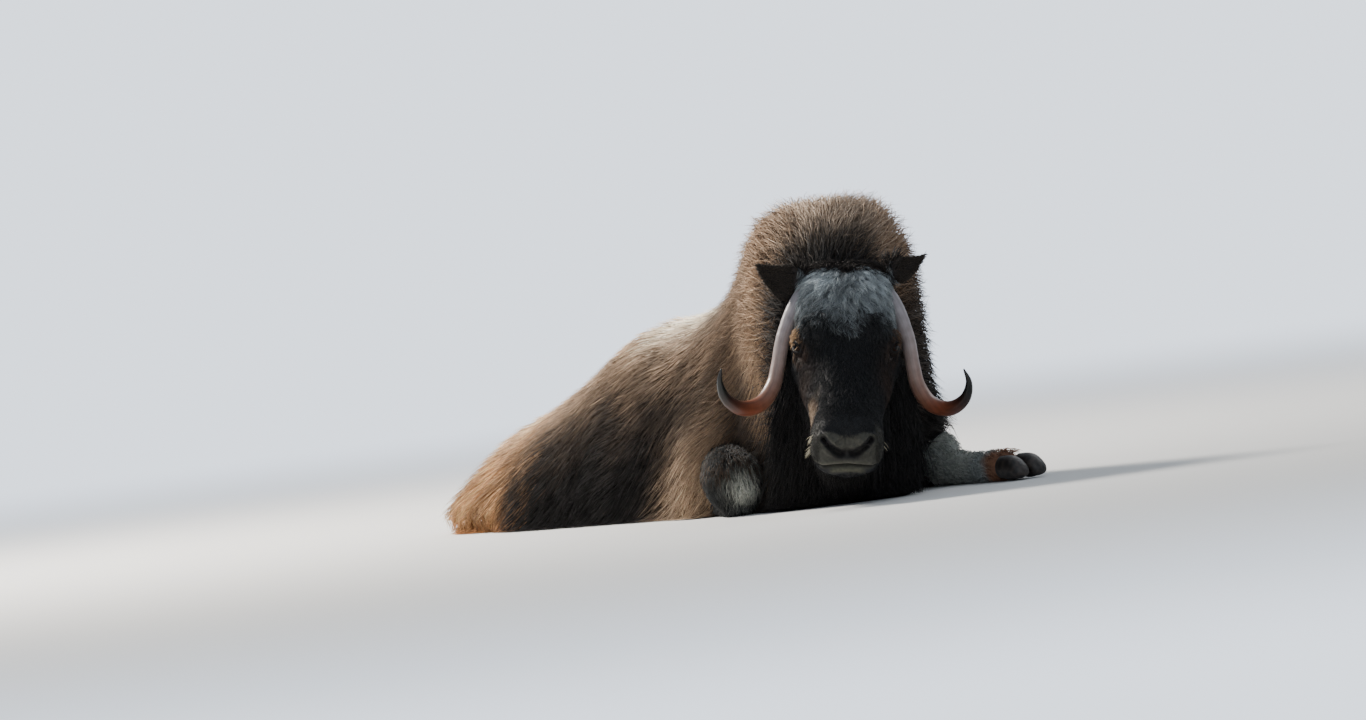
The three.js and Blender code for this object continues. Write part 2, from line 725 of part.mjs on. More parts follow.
const rooms = [
  ...headNeighbours,
  ...limbs.map((make) => make(GAP)),
  ...FEET.flatMap(([, from, to]) => [-1, 1].map((side) => claw(from, to, side, GAP))),
  tail(GAP),
];
const mass = Manifold.union([bodyMass(CORE, 18, 14), ...coatLocks(), ...throatLocks()]);
const body = onFloor(mass).subtract(Manifold.union(rooms));
add("neck", keepAhead(body, NECK_CUT), FUR, 1);
add("chest", keepAhead(keepBehind(body, NECK_CUT), CHEST_CUT), FUR, 1);
add("barrel", keepAhead(keepBehind(body, CHEST_CUT), BARREL_CUT), FUR, 1);
add("hindquarters", keepBehind(body, BARREL_CUT), FUR, 1);

const muskox = new THREE.Group();
const headGroup = new THREE.Group();
headGroup.position.copy(HEAD_AT);
headGroup.rotation.set(0, degrees(HEAD_LEAN), degrees(-HEAD_TURN), "ZYX");
muskox.add(headGroup);
for (const [name, solid, color, roughness, inHead] of nodes) {
  const material = new THREE.MeshStandardMaterial({ color, roughness, metalness: 0 });
  const mesh = new THREE.Mesh(geometryOf(solid), material);
  mesh.name = name;
  (inHead ? headGroup : muskox).add(mesh);
}
export default muskox;
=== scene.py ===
import json
import math

import bpy
import numpy as np
from mathutils import Matrix, Vector

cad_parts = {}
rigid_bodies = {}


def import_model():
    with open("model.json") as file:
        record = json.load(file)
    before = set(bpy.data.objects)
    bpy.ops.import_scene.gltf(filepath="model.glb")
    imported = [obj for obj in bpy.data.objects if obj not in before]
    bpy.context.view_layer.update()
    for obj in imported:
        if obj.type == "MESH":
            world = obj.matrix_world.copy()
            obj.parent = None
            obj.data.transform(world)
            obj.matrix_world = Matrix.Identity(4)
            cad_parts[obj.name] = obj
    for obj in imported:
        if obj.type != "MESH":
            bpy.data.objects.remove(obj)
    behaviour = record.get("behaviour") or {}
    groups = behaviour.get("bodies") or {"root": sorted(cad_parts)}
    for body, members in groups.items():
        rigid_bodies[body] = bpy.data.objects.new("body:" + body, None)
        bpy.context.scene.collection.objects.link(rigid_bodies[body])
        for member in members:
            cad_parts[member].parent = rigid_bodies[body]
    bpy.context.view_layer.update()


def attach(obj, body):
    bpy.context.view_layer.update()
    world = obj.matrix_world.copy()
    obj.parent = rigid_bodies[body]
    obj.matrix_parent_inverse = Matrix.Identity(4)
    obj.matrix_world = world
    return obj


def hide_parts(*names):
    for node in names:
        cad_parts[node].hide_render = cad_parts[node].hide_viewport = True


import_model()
rng = np.random.default_rng(20817)
draw = rng.uniform
MM = 0.001
TAU = 2 * math.pi

# Named sizes of the animal
HUMP = 692
BACK = 444
HALF_WIDTH = 274
SKIRT = 324
HEAD_TURN = 34
HEAD_LEAN = 7.5
FACE_PITCH = 48
HEAD_LENGTH = 517
POLL = 547
HEAD_AT = np.array([-140.0, -767.0, 0.0])
HORN_SPAN = 283
COAT_TOP = 56
COAT_SIDE = 78
SKIN_SHARE = 0.58
EYE_RADIUS = 20
EYE_AT = np.array([99.0, -214.0, -47.0])


# Small helpers
def srgb(red, green, blue):
    c = np.array([red, green, blue]) / 255
    return np.where(c <= 0.04045, c / 12.92, ((c + 0.055) / 1.055) ** 2.4)


def ramp(x, low, high):
    t = np.clip((np.asarray(x, float) - low) / (high - low), 0, 1)
    return t * t * (3 - 2 * t)


# A bell curve, which has a flatter top with a higher power
def bell(x, middle, width, power=2):
    return np.exp(-(((x - middle) / width) ** power))


def columns(*values):
    return np.stack(np.broadcast_arrays(*values), -1)


def mix(a, b, share):
    share = np.asarray(share, float)[..., None]
    return a * (1 - share) + b * share


# A colour with layers of other colours over it, each with its share
def painted(colour, layers):
    for over, share in layers:
        colour = mix(colour, over, share)
    return colour


def unit(v):
    return v / np.maximum(np.linalg.norm(v, axis=-1, keepdims=True), 1e-9)


# A direction laid down on the surface that has the given normal
def laid(way, normal):
    return unit(way - normal * np.sum(way * normal, 1, keepdims=True))


def rotation(axis, angle):
    return np.array(Matrix.Rotation(math.radians(angle), 3, axis))


def jitter(count, amount):
    return amount * rng.normal(size=(count, 3))


# A soft random field with waves of about the given length
def ripple(points, length, seed):
    own = np.random.default_rng(seed)
    total = np.zeros(len(points))
    for _ in range(5):
        way = unit(own.normal(size=3)) * own.uniform(0.7, 1.5)
        total += np.sin(points @ way * TAU / length + own.uniform(0, TAU))
    return total / 2.5


# A smooth curve through rows of [place, value, value, ...], which gives all the values at places
def smooth_table(rows):
    rows = np.array(rows, float)
    last = len(rows) - 1

    def at(places):
        places = np.asarray(places, float)
        k = np.clip(np.searchsorted(rows[:, 0], places, side="left") - 1, 0, last - 1)
        a, b = rows[k], rows[k + 1]
        before, after = rows[np.maximum(k - 1, 0)], rows[np.minimum(k + 2, last)]
        span = b[:, :1] - a[:, :1]
        f = np.clip((places[:, None] - a[:, :1]) / span, 0, 1)
        slope_a = (b - before) / (b[:, :1] - before[:, :1]) * span
        slope_b = (after - a) / (after[:, :1] - a[:, :1]) * span
        made = (2 * f**3 - 3 * f**2 + 1) * a + (f**3 - 2 * f**2 + f) * slope_a
        return (made + (3 * f**2 - 2 * f**3) * b + (f**3 - f**2) * slope_b)[:, 1:]

    return at


# Points at even parameters of a centripetal curve through given points
def spline(points, params, closed=False):
    points = np.array(points, float)
    count = len(points)
    if closed:
        padded = np.vstack([points[-1:], points, points[:2]])
        spans = count
    else:
        padded = np.vstack([2 * points[0] - points[1], points, 2 * points[-1] - points[-2]])
        spans = count - 1
    at = np.asarray(params, float) * spans
    k = np.clip(at.astype(int), 0, spans - 1)
    f = (at - k)[:, None]
    p0, p1, p2, p3 = (padded[k + i] for i in range(4))
    d0, d1, d2 = (
        np.maximum(np.linalg.norm(b - a, axis=1, keepdims=True), 1e-6) ** 0.5
        for a, b in ((p0, p1), (p1, p2), (p2, p3))
    )
    t1 = ((p1 - p0) / d0 - (p2 - p0) / (d0 + d1) + (p2 - p1) / d1) * d1
    t2 = ((p2 - p1) / d1 - (p3 - p1) / (d1 + d2) + (p3 - p2) / d2) * d1
    c3 = 2 * p1 - 2 * p2 + t1 + t2
    c2 = -3 * p1 + 3 * p2 - 2 * t1 - t2
    return ((c3 * f + c2) * f + t1) * f + p1


# Meshes
def linked(name, data):
    made = bpy.data.objects.new(name, data)
    bpy.context.scene.collection.objects.link(made)
    return made


def mesh_object(name, verts, faces, tint=None):
    mesh = bpy.data.meshes.new(name)
    mesh.from_pydata((np.asarray(verts) * MM).tolist(), [], faces)
    mesh.validate()
    mesh.shade_smooth()
    if tint is not None:
        set_tint(mesh, tint)
    return linked(name, mesh)


def set_tint(mesh, tint):
    layer = mesh.color_attributes.new("tint", "FLOAT_COLOR", "POINT")
    rgba = np.ones((len(mesh.vertices), 4), np.float32)
    rgba[:, :3] = np.clip(tint, 0, 1)
    layer.data.foreach_set("color", rgba.ravel())


def vectors_of(items, field):
    values = np.zeros(len(items) * 3, np.float32)
    items.foreach_get(field, values)
    return values.reshape(-1, 3).astype(float)


def mesh_points(mesh):
    return vectors_of(mesh.vertices, "co") / MM


def mesh_normals(mesh):
    return vectors_of(mesh.vertex_normals, "vector")


def move_points(mesh, points):
    mesh.vertices.foreach_set("co", (points * MM).astype(np.float32).ravel())
    mesh.update()


# A closed surface through rings of points, with a pole at each end
def loft(rings, first, last):
    rings = np.asarray(rings, float)
    count, sides = rings.shape[:2]
    verts = np.vstack([[first], rings.reshape(-1, 3), [last]])
    faces = []
    for j in range(sides):
        k = (j + 1) % sides
        faces.append((0, 1 + k, 1 + j))
        top = 1 + (count - 1) * sides
        faces.append((len(verts) - 1, top + j, top + k))
        for i in range(count - 1):
            a = 1 + i * sides
            faces.append((a + j, a + k, a + sides + k, a + sides + j))
    return verts, faces


def ball_mesh(centre, sizes, turned=None, around=24, down=16):
    turns = TAU * np.arange(around) / around
    rings = []
    for angle in math.pi * np.arange(1, down) / down:
        rings.append(columns(np.sin(angle) * np.cos(turns), np.sin(angle) * np.sin(turns), np.cos(angle)))
    verts, faces = loft(rings, [0, 0, 1], [0, 0, -1])
    verts = verts * np.array(sizes)
    if turned is not None:
        verts = verts @ turned.T
    return verts + np.array(centre), faces


def joined(parts):
    verts, faces, start = [], [], 0
    for v, f in parts:
        verts.append(v)
        faces += [tuple(i + start for i in face) for face in f]
        start += len(v)
    return np.vstack(verts), faces


# One smooth closed surface around overlapping closed pieces
def fused(name, parts, voxel, smoothing):
    raw = mesh_object(name + "_raw", *joined(parts))
    remesh = raw.modifiers.new("remesh", "REMESH")
    remesh.mode = "VOXEL"
    remesh.voxel_size = voxel * MM
    remesh.use_smooth_shade = True
    soften = raw.modifiers.new("soften", "SMOOTH")
    soften.factor = 0.5
    soften.iterations = smoothing
    bpy.context.view_layer.update()
    mesh = bpy.data.meshes.new_from_object(raw.evaluated_get(bpy.context.evaluated_depsgraph_get()))
    bpy.data.objects.remove(raw)
    return linked(name, mesh)


# Neck and trunk: sections on a bent spine, as in the solids.
# Rows: x, y, heading, lean of the top, top, half width, half width on the floor, roundness
SPINE = [
    [-165, -800, 34, 0, 470, 112, 142, 0.6],
    [-125, -745, 34, 10, 556, 156, 190, 0.5],
    [-80, -690, 32, 22, 632, 196, 230, 0.4],
    [-44, -635, 27, 34, 684, 214, 252, 0.32],
    [-16, -570, 18, 36, HUMP, 212, 262, 0.34],
    [0, -490, 7, 26, 642, 220, 280, 0.48],
    [2, -410, 2, 10, 558, 238, 296, 0.6],
    [0, -325, 0, 0, 506, 252, 303, 0.65],
    [0, -245, 0, 0, 476, 262, 308, 0.68],
    [0, -100, 0, 0, 455, HALF_WIDTH, 317, 0.74],
    [0, 60, 0, 0, BACK, HALF_WIDTH, SKIRT, 0.78],
    [0, 220, 0, 0, 372, 270, SKIRT, 0.8],
    [0, 360, 0, 0, 316, 258, 320, 0.82],
    [0, 490, 0, 0, 278, 240, 312, 0.84],
    [0, 610, 0, 0, 240, 214, 302, 0.86],
    [0, 710, 0, 0, 198, 178, 292, 0.88],
    [0, 785, 0, 0, 122, 120, 222, 0.88],
    [0, 835, 0, 0, 36, 44, 98, 0.88],
]
spine_places = [0.0]
for row, following in zip(SPINE, SPINE[1:]):
    spine_places.append(spine_places[-1] + math.hypot(following[0] - row[0], following[1] - row[1]))
SPINE_LENGTH = spine_places[-1]
spine = smooth_table([[place, *row] for place, row in zip(spine_places, SPINE)])


def place_of(y):
    return SPINE_LENGTH - (SPINE[-1][1] - y)


# Swellings: side, place, share down the side, amount, length, height
SWELLINGS = [
    (-1, place_of(-410), 0.84, 60, 105, 0.22),
    (1, place_of(-385), 0.8, 50, 120, 0.22),
    (-1, place_of(350), 0.72, 20, 170, 0.3),
    (1, place_of(350), 0.74, 56, 170, 0.32),
    (1, place_of(-640), 0.93, 60, 90, 0.12),
]
SECTION_STEPS = 40
section_share = np.arange(SECTION_STEPS + 1) / SECTION_STEPS
section_turn = math.pi / 2 * section_share**2.5 / (section_share**2.5 + (1 - section_share) ** 2.5)


def turn_at(q, wide, high, roundness):
    xs = wide[:, None] * np.sin(section_turn) ** (0.25 + roundness[:, None])
    zs = high[:, None] * np.maximum(np.cos(section_turn), 0) ** roundness[:, None]
    steps = np.hypot(np.diff(xs, axis=1), np.diff(zs, axis=1))
    lengths = np.hstack([np.zeros((len(q), 1)), np.cumsum(steps, 1)])
    lengths /= lengths[:, -1:]
    k = np.clip((lengths < q[:, None]).sum(1) - 1, 0, SECTION_STEPS - 1)
    row = np.arange(len(q))
    f = (q - lengths[row, k]) / np.maximum(lengths[row, k + 1] - lengths[row, k], 1e-9)
    return section_turn[k] + (section_turn[k + 1] - section_turn[k]) * f


def coat_exact(place, around, share):
    x, y, heading, lean, top, half, floor, roundness = spine(place).T
    q = np.minimum(np.abs(around), 1)
    thin = np.minimum(1, top / 260)
    high = top - share * COAT_TOP * thin
    wide = half - share * COAT_SIDE * thin
    skirt = floor - share * COAT_SIDE * thin
    turn = turn_at(q, wide, high, roundness)
    out = wide * np.sin(turn) ** (0.25 + roundness) + (skirt - wide) * q**4
    for side, at, down, amount, length, height in SWELLINGS:
        near = bell(place, at, length) * bell(q, down, height)
        out += (np.sign(around) == side) * amount * near * np.sqrt(q)
    z = high * np.maximum(np.cos(turn), 0) ** roundness
    aside = np.sign(around) * out + lean * z / top
    turned = np.radians(heading)
    return columns(x + aside * np.cos(turned), y - aside * np.sin(turned), z)


# Places along the spine and turns around it, spread over the body
def body_net(places, turns):
    net = np.meshgrid(np.linspace(0, SPINE_LENGTH, places), np.linspace(-1, 1, turns), indexing="ij")
    return [values.ravel() for values in net]


NET_PLACES = 340
NET_AROUND = 241
net = []
for share in (0.0, 1.0):
    net.append(coat_exact(*body_net(NET_PLACES, NET_AROUND), share).reshape(NET_PLACES, NET_AROUND, 3))
net_normal = unit(np.cross(np.gradient(net[0], axis=0), np.gradient(net[0], axis=1)))
net_normal *= np.sign(np.sum(net_normal * (net[0] - net[1]), axis=2, keepdims=True))


def look_up(table, place, around):
    i = np.clip(place / SPINE_LENGTH, 0, 1) * (NET_PLACES - 1)
    j = (np.clip(around, -1, 1) + 1) / 2 * (NET_AROUND - 1)
    i0 = np.minimum(i.astype(int), NET_PLACES - 2)
    j0 = np.minimum(j.astype(int), NET_AROUND - 2)
    fi, fj = (i - i0)[:, None], (j - j0)[:, None]
    low = table[i0, j0] * (1 - fj) + table[i0, j0 + 1] * fj
    high = table[i0 + 1, j0] * (1 - fj) + table[i0 + 1, j0 + 1] * fj
    return low * (1 - fi) + high * fi


def coat_at(place, around, share):
    share = np.asarray(share, float)
    share = share[:, None] if share.ndim else share
    return look_up(net[0], place, around) * (1 - share) + look_up(net[1], place, around) * share


def arch_length(place):
    values = spine(place)
    return 0.9 * (values[:, 4] + values[:, 5])


# The lie of the coat: back along the spine on top, turning down towards the hem, steeper on the neck,
# and hanging straight down at the very front
def lie_at(place, q):
    trunk = np.clip((place - 120) / 300, 0, 1)
    back = 0.72 + 0.2 * trunk - (0.58 + 0.06 * trunk) * q ** (0.45 + 0.4 * trunk)
    back *= 1 - 0.9 * ramp(place, 60, 0)
    return back, np.sqrt(1 - back * back) * ramp(q, 0, 0.13)


# Frames of the head
head_turn = rotation("Z", -HEAD_TURN) @ rotation("Y", HEAD_LEAN)
skull_turn = rotation("X", FACE_PITCH)
POLL_AT = np.array([0, 0, POLL])
FORWARD = head_turn @ np.array([0.0, -1.0, 0.0])
SIDEWAYS = rotation("Z", -HEAD_TURN) @ np.array([1.0, 0, 0])


def level_of_skull(points):
    return points @ skull_turn.T + POLL_AT


def world_of_level(points):
    return points @ head_turn.T + HEAD_AT


def world_of_skull(points):
    return world_of_level(level_of_skull(points))


def level_of_world(points):
    return (points - HEAD_AT) @ head_turn


def skull_of_world(points):
    return (level_of_world(points) - POLL_AT) @ skull_turn


# The coat draws back on the inner side of the stretched foreleg, which comes out of it. The far end of the
# rump is full on the floor and drawn in above it, which makes it blunt
def parted(points):
    level = level_of_world(points)
    inner = ramp(level[..., 2], 172, 126) * ramp(level[..., 1], 305, 235)
    level[..., 0] -= 0.78 * inner * np.clip(level[..., 0] - 146, 0, None)
    world = world_of_level(level)
    high = world[..., 2]
    fuller = 44 * ramp(high, 42, 0) - 26 * ramp(high, 8, 46) * ramp(high, 230, 90)
    far = ramp((world - HEAD_AT) @ SIDEWAYS, -770, -900)
    return world + SIDEWAYS * (fuller * far)[..., None]


# Skull. Rows: place along the face, top line, underside, half width of brow, of cheek, of jaw, slant
SKULL = [
    [-40, -50, -150, 62, 74, 50, 0],
    [0, -14, -176, 84, 94, 62, 0],
    [60, 6, -200, 94, 102, 74, 0],
    [130, 14, -218, 98, 110, 82, 0],
    [180, 12, -224, 96, 116, 84, 0],
    [215, 6, -224, 92, 116, 84, 0],
    [270, -2, -212, 72, 102, 80, 0],
    [340, -4, -184, 60, 84, 68, 0],
    [400, -2, -164, 58, 76, 62, 0.05],
    [445, -2, -154, 64, 82, 64, 0.12],
    [482, -4, -148, 66, 84, 64, 0.18],
    [504, -16, -142, 60, 78, 60, 0.22],
    [HEAD_LENGTH, -36, -128, 42, 60, 46, 0.24],
]
skull_at = smooth_table(SKULL)


def skull_loft(grow, sides=72, steps=70):
    first, last = SKULL[0][0], SKULL[-1][0]
    made = []
    for i in range(steps + 1):
        place = first + (last - first) * (1 - (1 - i / steps) ** 1.35)
        top, bottom, brow, cheek, jaw, slant = skull_at([place])[0]
        high = top - bottom
        outline = [
            (0, top + grow),
            (brow * 0.62 + grow * 0.4, top - 0.03 * high + grow * 0.9),
            (brow + grow * 0.8, top - 0.14 * high + grow * 0.6),
            (cheek + grow, top - 0.42 * high),
            (jaw + grow * 0.9, bottom + 0.2 * high - grow * 0.5),
            (0, bottom - grow),
        ]
        outline += [(-x, h) for x, h in outline[-2:0:-1]]
        ring = spline(outline, np.arange(sides) / sides, closed=True)
        made.append(columns(ring[:, 0], -place + slant * (ring[:, 1] + 50), ring[:, 1]))
    return loft(made, [0, -first + 8 + grow, -100], [0, -last - 5 - grow, -86])


# A limb, horn, ear or claw: round sections along a curve. Radii are rows of share, across, upright
class Limb:
    def __init__(self, points, radii, up=(0, 0, 1)):
        fine = spline(points, np.linspace(0, 1, 400))
        lengths = np.concatenate([[0], np.cumsum(np.linalg.norm(np.diff(fine, axis=0), axis=1))])
        self.shares = np.linspace(0, 1, 90)
        at = self.shares * lengths[-1]
        self.centre = np.stack([np.interp(at, lengths, fine[:, i]) for i in range(3)], 1)
        self.along = unit(np.gradient(self.centre, axis=0))
        self.across = unit(np.cross(self.along, np.array(up, float)))
        self.upright = np.cross(self.across, self.along)
        self.size = smooth_table(radii)(self.shares)

    def look(self, shares):
        values = np.hstack([self.centre, self.along, self.across, self.upright, self.size])
        got = np.stack([np.interp(shares, self.shares, values[:, i]) for i in range(values.shape[1])], 1)
        return got[:, :3], got[:, 3:6], got[:, 6:9], got[:, 9:12], got[:, 12:]

    def surface(self, shares, turns, grow):
        centre, _, across, upright, size = self.look(shares)
        spread = across * (np.cos(turns)[:, None] * (size[:, :1] + grow))
        return centre + spread + upright * (np.sin(turns)[:, None] * (size[:, 1:] + grow))

    def mesh(self, grow, sides=40, steps=60):
        turns = TAU * np.arange(sides) / sides
        rings = [self.surface(np.full(sides, s), turns, grow) for s in np.linspace(0, 1, steps)]
        caps = self.size[[0, -1], 1] * 0.5 + grow
        first = self.centre[0] - self.along[0] * caps[0]
        last = self.centre[-1] + self.along[-1] * caps[1]
        return loft(rings, first, last)


LIMBS = {
    "forearm_right": Limb(
        [(-176, -372, 112), (-252, -490, 92), (-318, -612, 68)],
        [[0, 56, 60], [0.45, 54, 58], [0.75, 60, 60], [0.92, 56, 56], [1, 38, 38]],
    ),
    "cannon_fore_right": Limb(
        [(-318, -600, 28), (-284, -528, 29), (-250, -460, 29)], [[0, 28, 28], [0.4, 26, 28], [1, 30, 30]]
    ),
    "forearm_left": Limb(
        [(150, -440, 112), (190, -570, 88), (202, -702, 60)],
        [[0, 58, 60], [0.5, 50, 54], [0.8, 54, 56], [0.94, 50, 52], [1, 38, 40]],
    ),
    "cannon_fore_left": Limb(
        [(203, -700, 38), (206, -830, 33), (210, -932, 32)],
        [[0, 42, 38], [0.45, 29, 27], [0.8, 32, 30], [1, 28, 28]],
    ),
    "cannon_hind_left": Limb(
        [(246, 230, 52), (322, 140, 42), (384, 40, 36)],
        [[0, 44, 50], [0.5, 30, 34], [0.85, 34, 36], [1, 30, 32]],
    ),
    "cannon_hind_right": Limb(
        [(240, -36, 46), (300, -98, 40), (350, -150, 36)], [[0, 36, 40], [0.7, 33, 36], [1, 30, 32]]
    ),
}
TAIL = Limb(
    [(0, 700, 168), (0, 775, 150), (0, 822, 96)], [[0, 44, 34], [0.5, 40, 30], [0.85, 24, 18], [1, 10, 8]]
)
# Horns: down beside the cheek, forward and up to the tip. Points: out, back, height beside the head
HORN = [
    (54, 22, 504),
    (99, -10, 466),
    (138, -32, 385),
    (153, -50, 312),
    (164, -66, 268),
    (192, -94, 229),
    (235, -130, 219),
    (272, -168, 243),
    (HORN_SPAN + 3, -196, 280),
    (HORN_SPAN, -212, 310),
]
HORN_RADII = [
    [0, 20, 16],
    [0.08, 22, 19],
    [0.16, 21, 20],
    [0.3, 17.5, 17.5],
    [0.45, 17, 17],
    [0.6, 18.5, 18.5],
    [0.75, 17, 17],
    [0.87, 11.5, 11.5],
    [0.96, 5.5, 5.5],
    [1, 2, 2],
]
HORNS = {}
for side in (-1, 1):
    line = np.array([(side * x, y, z) for x, y, z in HORN], float)
    if side > 0:
        line[-3:, 0] -= (4, 10, 19)
    HORNS[side] = Limb(world_of_level(line), HORN_RADII, up=(0, 1, 0.2))
CLAW_WIDE = 25
CLAW_RADII = [[0, 23, 26], [0.5, CLAW_WIDE, 28], [0.85, 21, 17], [1, 13, 9]]
FEET = {
    "fore_right": ((-242, -444, 0), (-206, -374, 0)),
    "fore_left": ((211, -940, 0), (214, -1018, 0)),
    "hind_left": ((386, 32, 0), (400, -44, 0)),
    "hind_right": ((352, -158, 0), (392, -226, 0)),
}
CLAWS = {}
for name, (start, toe) in FEET.items():
    start, toe = np.array(start, float), np.array(toe, float)
    along = unit(toe - start)
    for side, letter in ((-1, "a"), (1, "b")):
        aside = np.array([-along[1], along[0], 0]) * side * (CLAW_WIDE + 0.6)
        line = []
        for share, height in ((0, 33), (0.55, 28), (1, 15)):
            line.append(start + (toe - start) * share + aside + np.array([0, 0, height]))
        CLAWS[f"{name}_{letter}"] = Limb(line, CLAW_RADII)


# Eyes: each has its centre, the way it looks, the line of its opening towards the nose, and up
class Eye:
    def __init__(self, side):
        self.side = side
        self.centre = EYE_AT * np.array([side, 1, 1])
        self.look = unit(np.array([side * 0.8, -0.38, 0.47]))
        long = np.array([0, -0.9, 0.42])
        self.long = unit(long - self.look * (long @ self.look))
        self.above = np.cross(self.look, self.long) * side
        if self.above[2] < 0:
            self.above = -self.above

    # Points at an angle from the line of sight, turned around it
    def at(self, angle, turn, radius):
        angle, turn = np.asarray(angle), np.asarray(turn)
        ring = np.cos(turn)[..., None] * self.long + np.sin(turn)[..., None] * self.above
        way = np.cos(angle)[..., None] * self.look + np.sin(angle)[..., None] * ring
        return self.centre + way * np.asarray(radius)[..., None]


EYES = {side: Eye(side) for side in (-1, 1)}
LID_LONG = math.radians(42)
LID_UPPER = math.radians(22)
LID_LOWER = math.radians(19)
LID_OUTER = math.radians(88)
LID_SIDES = 72
LID_EDGE = srgb(8, 7, 7)
LID_SKIN = srgb(22, 18, 17)


def lid_edge(turn):
    high = np.where(np.sin(turn) > 0, LID_UPPER, LID_LOWER)
    return 1 / np.sqrt((np.cos(turn) / LID_LONG) ** 2 + (np.sin(turn) / high) ** 2)


# Lids: a fold that hugs the ball from the opening outwards until it dives under the skin around it
def lid_mesh(eye):
    turn = TAU * np.arange(LID_SIDES) / LID_SIDES
    edge = lid_edge(turn)
    upper = np.clip(np.sin(turn), 0, 1)
    steps = [
        (edge - 0.05, 18.6),
        (edge, 20.4),
        (edge + 0.05, 22.2 + 0.6 * upper),
        (edge + 0.15, 23.4 + 1.4 * upper),
        (edge + 0.28, 23.1 + 1.0 * upper),
        (edge + 0.4, 22.2 + 0.1 * upper),
        (edge + (LID_OUTER - edge) * 0.62, 23.0 + 0.8 * upper),
        (edge + (LID_OUTER - edge) * 0.82, 22.0),
        (LID_OUTER, 18.0),
    ]
    rings = [eye.at(angle, turn, radius) for angle, radius in steps]
    verts, faces = loft(rings, eye.centre, eye.centre - eye.look * 4)
    outwards = np.repeat(ramp(np.arange(len(steps)), 1, 5), LID_SIDES)
    tint = mix(LID_EDGE, LID_SKIN, np.concatenate([[0], outwards, [1]]))
    return world_of_skull(verts), faces if eye.side > 0 else [face[::-1] for face in faces], tint


# Ear: a hollowed leaf with a straight upper edge
def ear_mesh(side):
    if side < 0:
        root, tip, narrow = np.array([-112.0, 10, 494]), np.array([-203.0, 2, 543]), 1
    else:
        root, tip, narrow = np.array([108.0, 12, 524]), np.array([184.0, 26, 566]), 0.7
    middle = (root + tip) / 2 + np.array([side * 4, 0, -3])
    rows = [[0, 16, 38], [0.2, 14, 45], [0.45, 12, 33], [0.72, 8, 18], [1, 2, 2]]
    leaf = Limb([root, middle, tip], [[share, thick, wide * narrow] for share, thick, wide in rows])
    leaf.across = unit(np.cross(leaf.along, np.array([side * -0.4, 0, 1.0])))
    leaf.upright = np.cross(leaf.across, leaf.along)
    shares, turns = np.linspace(0, 1, 34), TAU * np.arange(44) / 44
    rings = np.array([leaf.surface(np.full(44, share), turns, -1.5) for share in shares])
    # The front of the leaf is pressed in to a cup
    centres = leaf.look(shares)[0]
    front = centres[:, None, 1] - rings[..., 1]
    hollow = np.sin(np.pi * np.clip((shares - 0.05) / 0.9, 0, 1))[:, None]
    rings[..., 1] += np.clip(front, 0, None) * 1.8 * hollow * (1 - np.abs(np.sin(turns))[None] ** 3)
    return loft(rings, root - unit(middle - root) * 12, tip + unit(tip - middle) * 3)


# Colours of the coat, by place along the spine and around it
BROWN = srgb(124, 104, 86)
MANE = srgb(150, 125, 102)
MANE_TOP = srgb(172, 154, 136)
TAN = srgb(190, 160, 130)
CREAM = srgb(226, 210, 186)
GOLD = srgb(194, 148, 104)
ORANGE = srgb(174, 116, 72)
FLANK = srgb(46, 39, 34)
DARK = srgb(21, 20, 21)
# Dark hair with painted shade, for the throat, beard and neck under the head
DARK_HAIR_IN_SHADE = srgb(28, 27, 27)
LOBE = srgb(192, 164, 136)


def coat_tint(place, around, points):
    q = np.abs(around)
    patch = ripple(points, 190, 3)
    trunk = ramp(place, 480, 640)
    mane_top_and_rim_light = ramp(q, 0.24, 0.06) * ramp(place, 50, 110) * ramp(place, 400, 300)
    rump = ramp(place + 50 * patch + 40 * ripple(points, 60, 7) - 130 * (q - 0.5), 1100, 1420)
    c = painted(BROWN, [
        (MANE, 1 - ramp(place, 260, 430)),
        # The paler top of the mane is partly the hair's own colour and partly painted rim light along the
        # top edge, mostly kept off the side where around is negative
        (MANE_TOP, 0.8 * mane_top_and_rim_light * (1 - 0.7 * ramp(-around, 0.03, 0.12))),
        (TAN, 0.62 * ramp(q, 0.42, 0.12) * ramp(place, 640, 900)),
        # Darker down the flanks: partly the darker hair there, partly painted shade under the light from
        # above
        (FLANK, 0.92 * ramp(q + 0.05 * patch, 0.31, 0.52) * ramp(place, 240, 420)),
        (DARK, 0.95 * ramp(q + 0.05 * patch, 0.5, 0.73) * trunk),
        # Painted shadow between the mane and the shoulder lobe
        (DARK, 0.85 * ramp(q, 0.42, 0.62) * ramp(place, 110, 160) * ramp(place, 330, 260)),
        (LOBE, 0.95 * bell(place, 440, 105) * bell(q, 0.84, 0.19)),
        # Painted sunlight: a tan band on the sunlit side of the mane's front
        (TAN, 0.8 * bell(place, 125, 40) * ramp(-around, 0.2, 0.3) * ramp(q, 0.66, 0.5)),
        # Painted shade: the mane's shaded side, where around is positive, is darkened
        (DARK, 0.88 * ramp(around, 0.22, 0.42) * ramp(place, 330, 200)),
        # Dark hair of the throat and of the neck just behind the head, deepened as painted shade under and
        # behind the head
        (DARK_HAIR_IN_SHADE, 0.95 * ramp(place + 10 * patch, 92, 52)),
        (DARK_HAIR_IN_SHADE, 0.85 * ramp(q, 0.58, 0.7) * ramp(place, 190, 120)),
        (DARK_HAIR_IN_SHADE, 0.85 * ramp(place + 12 * patch, 138, 92) * ramp(q, 0.34, 0.14)),
        (CREAM, 0.9 * bell(place - 30 * patch, 640, 165, 4) * bell(around, 0, 0.19, 4)),
        (mix(TAN, GOLD, ramp(q, 0.12, 0.5)), rump * 0.92),
        (ORANGE, rump * ramp(q, 0.72, 0.95)),
    ])
    streaks = ripple(columns(place - 420 * q, 60 * q, 0), 75, 27) * ramp(q, 0.2, 0.4) * trunk
    return c * (1 + 0.3 * streaks)[:, None] * (1 + 0.14 * ripple(points, 70, 5))[:, None]
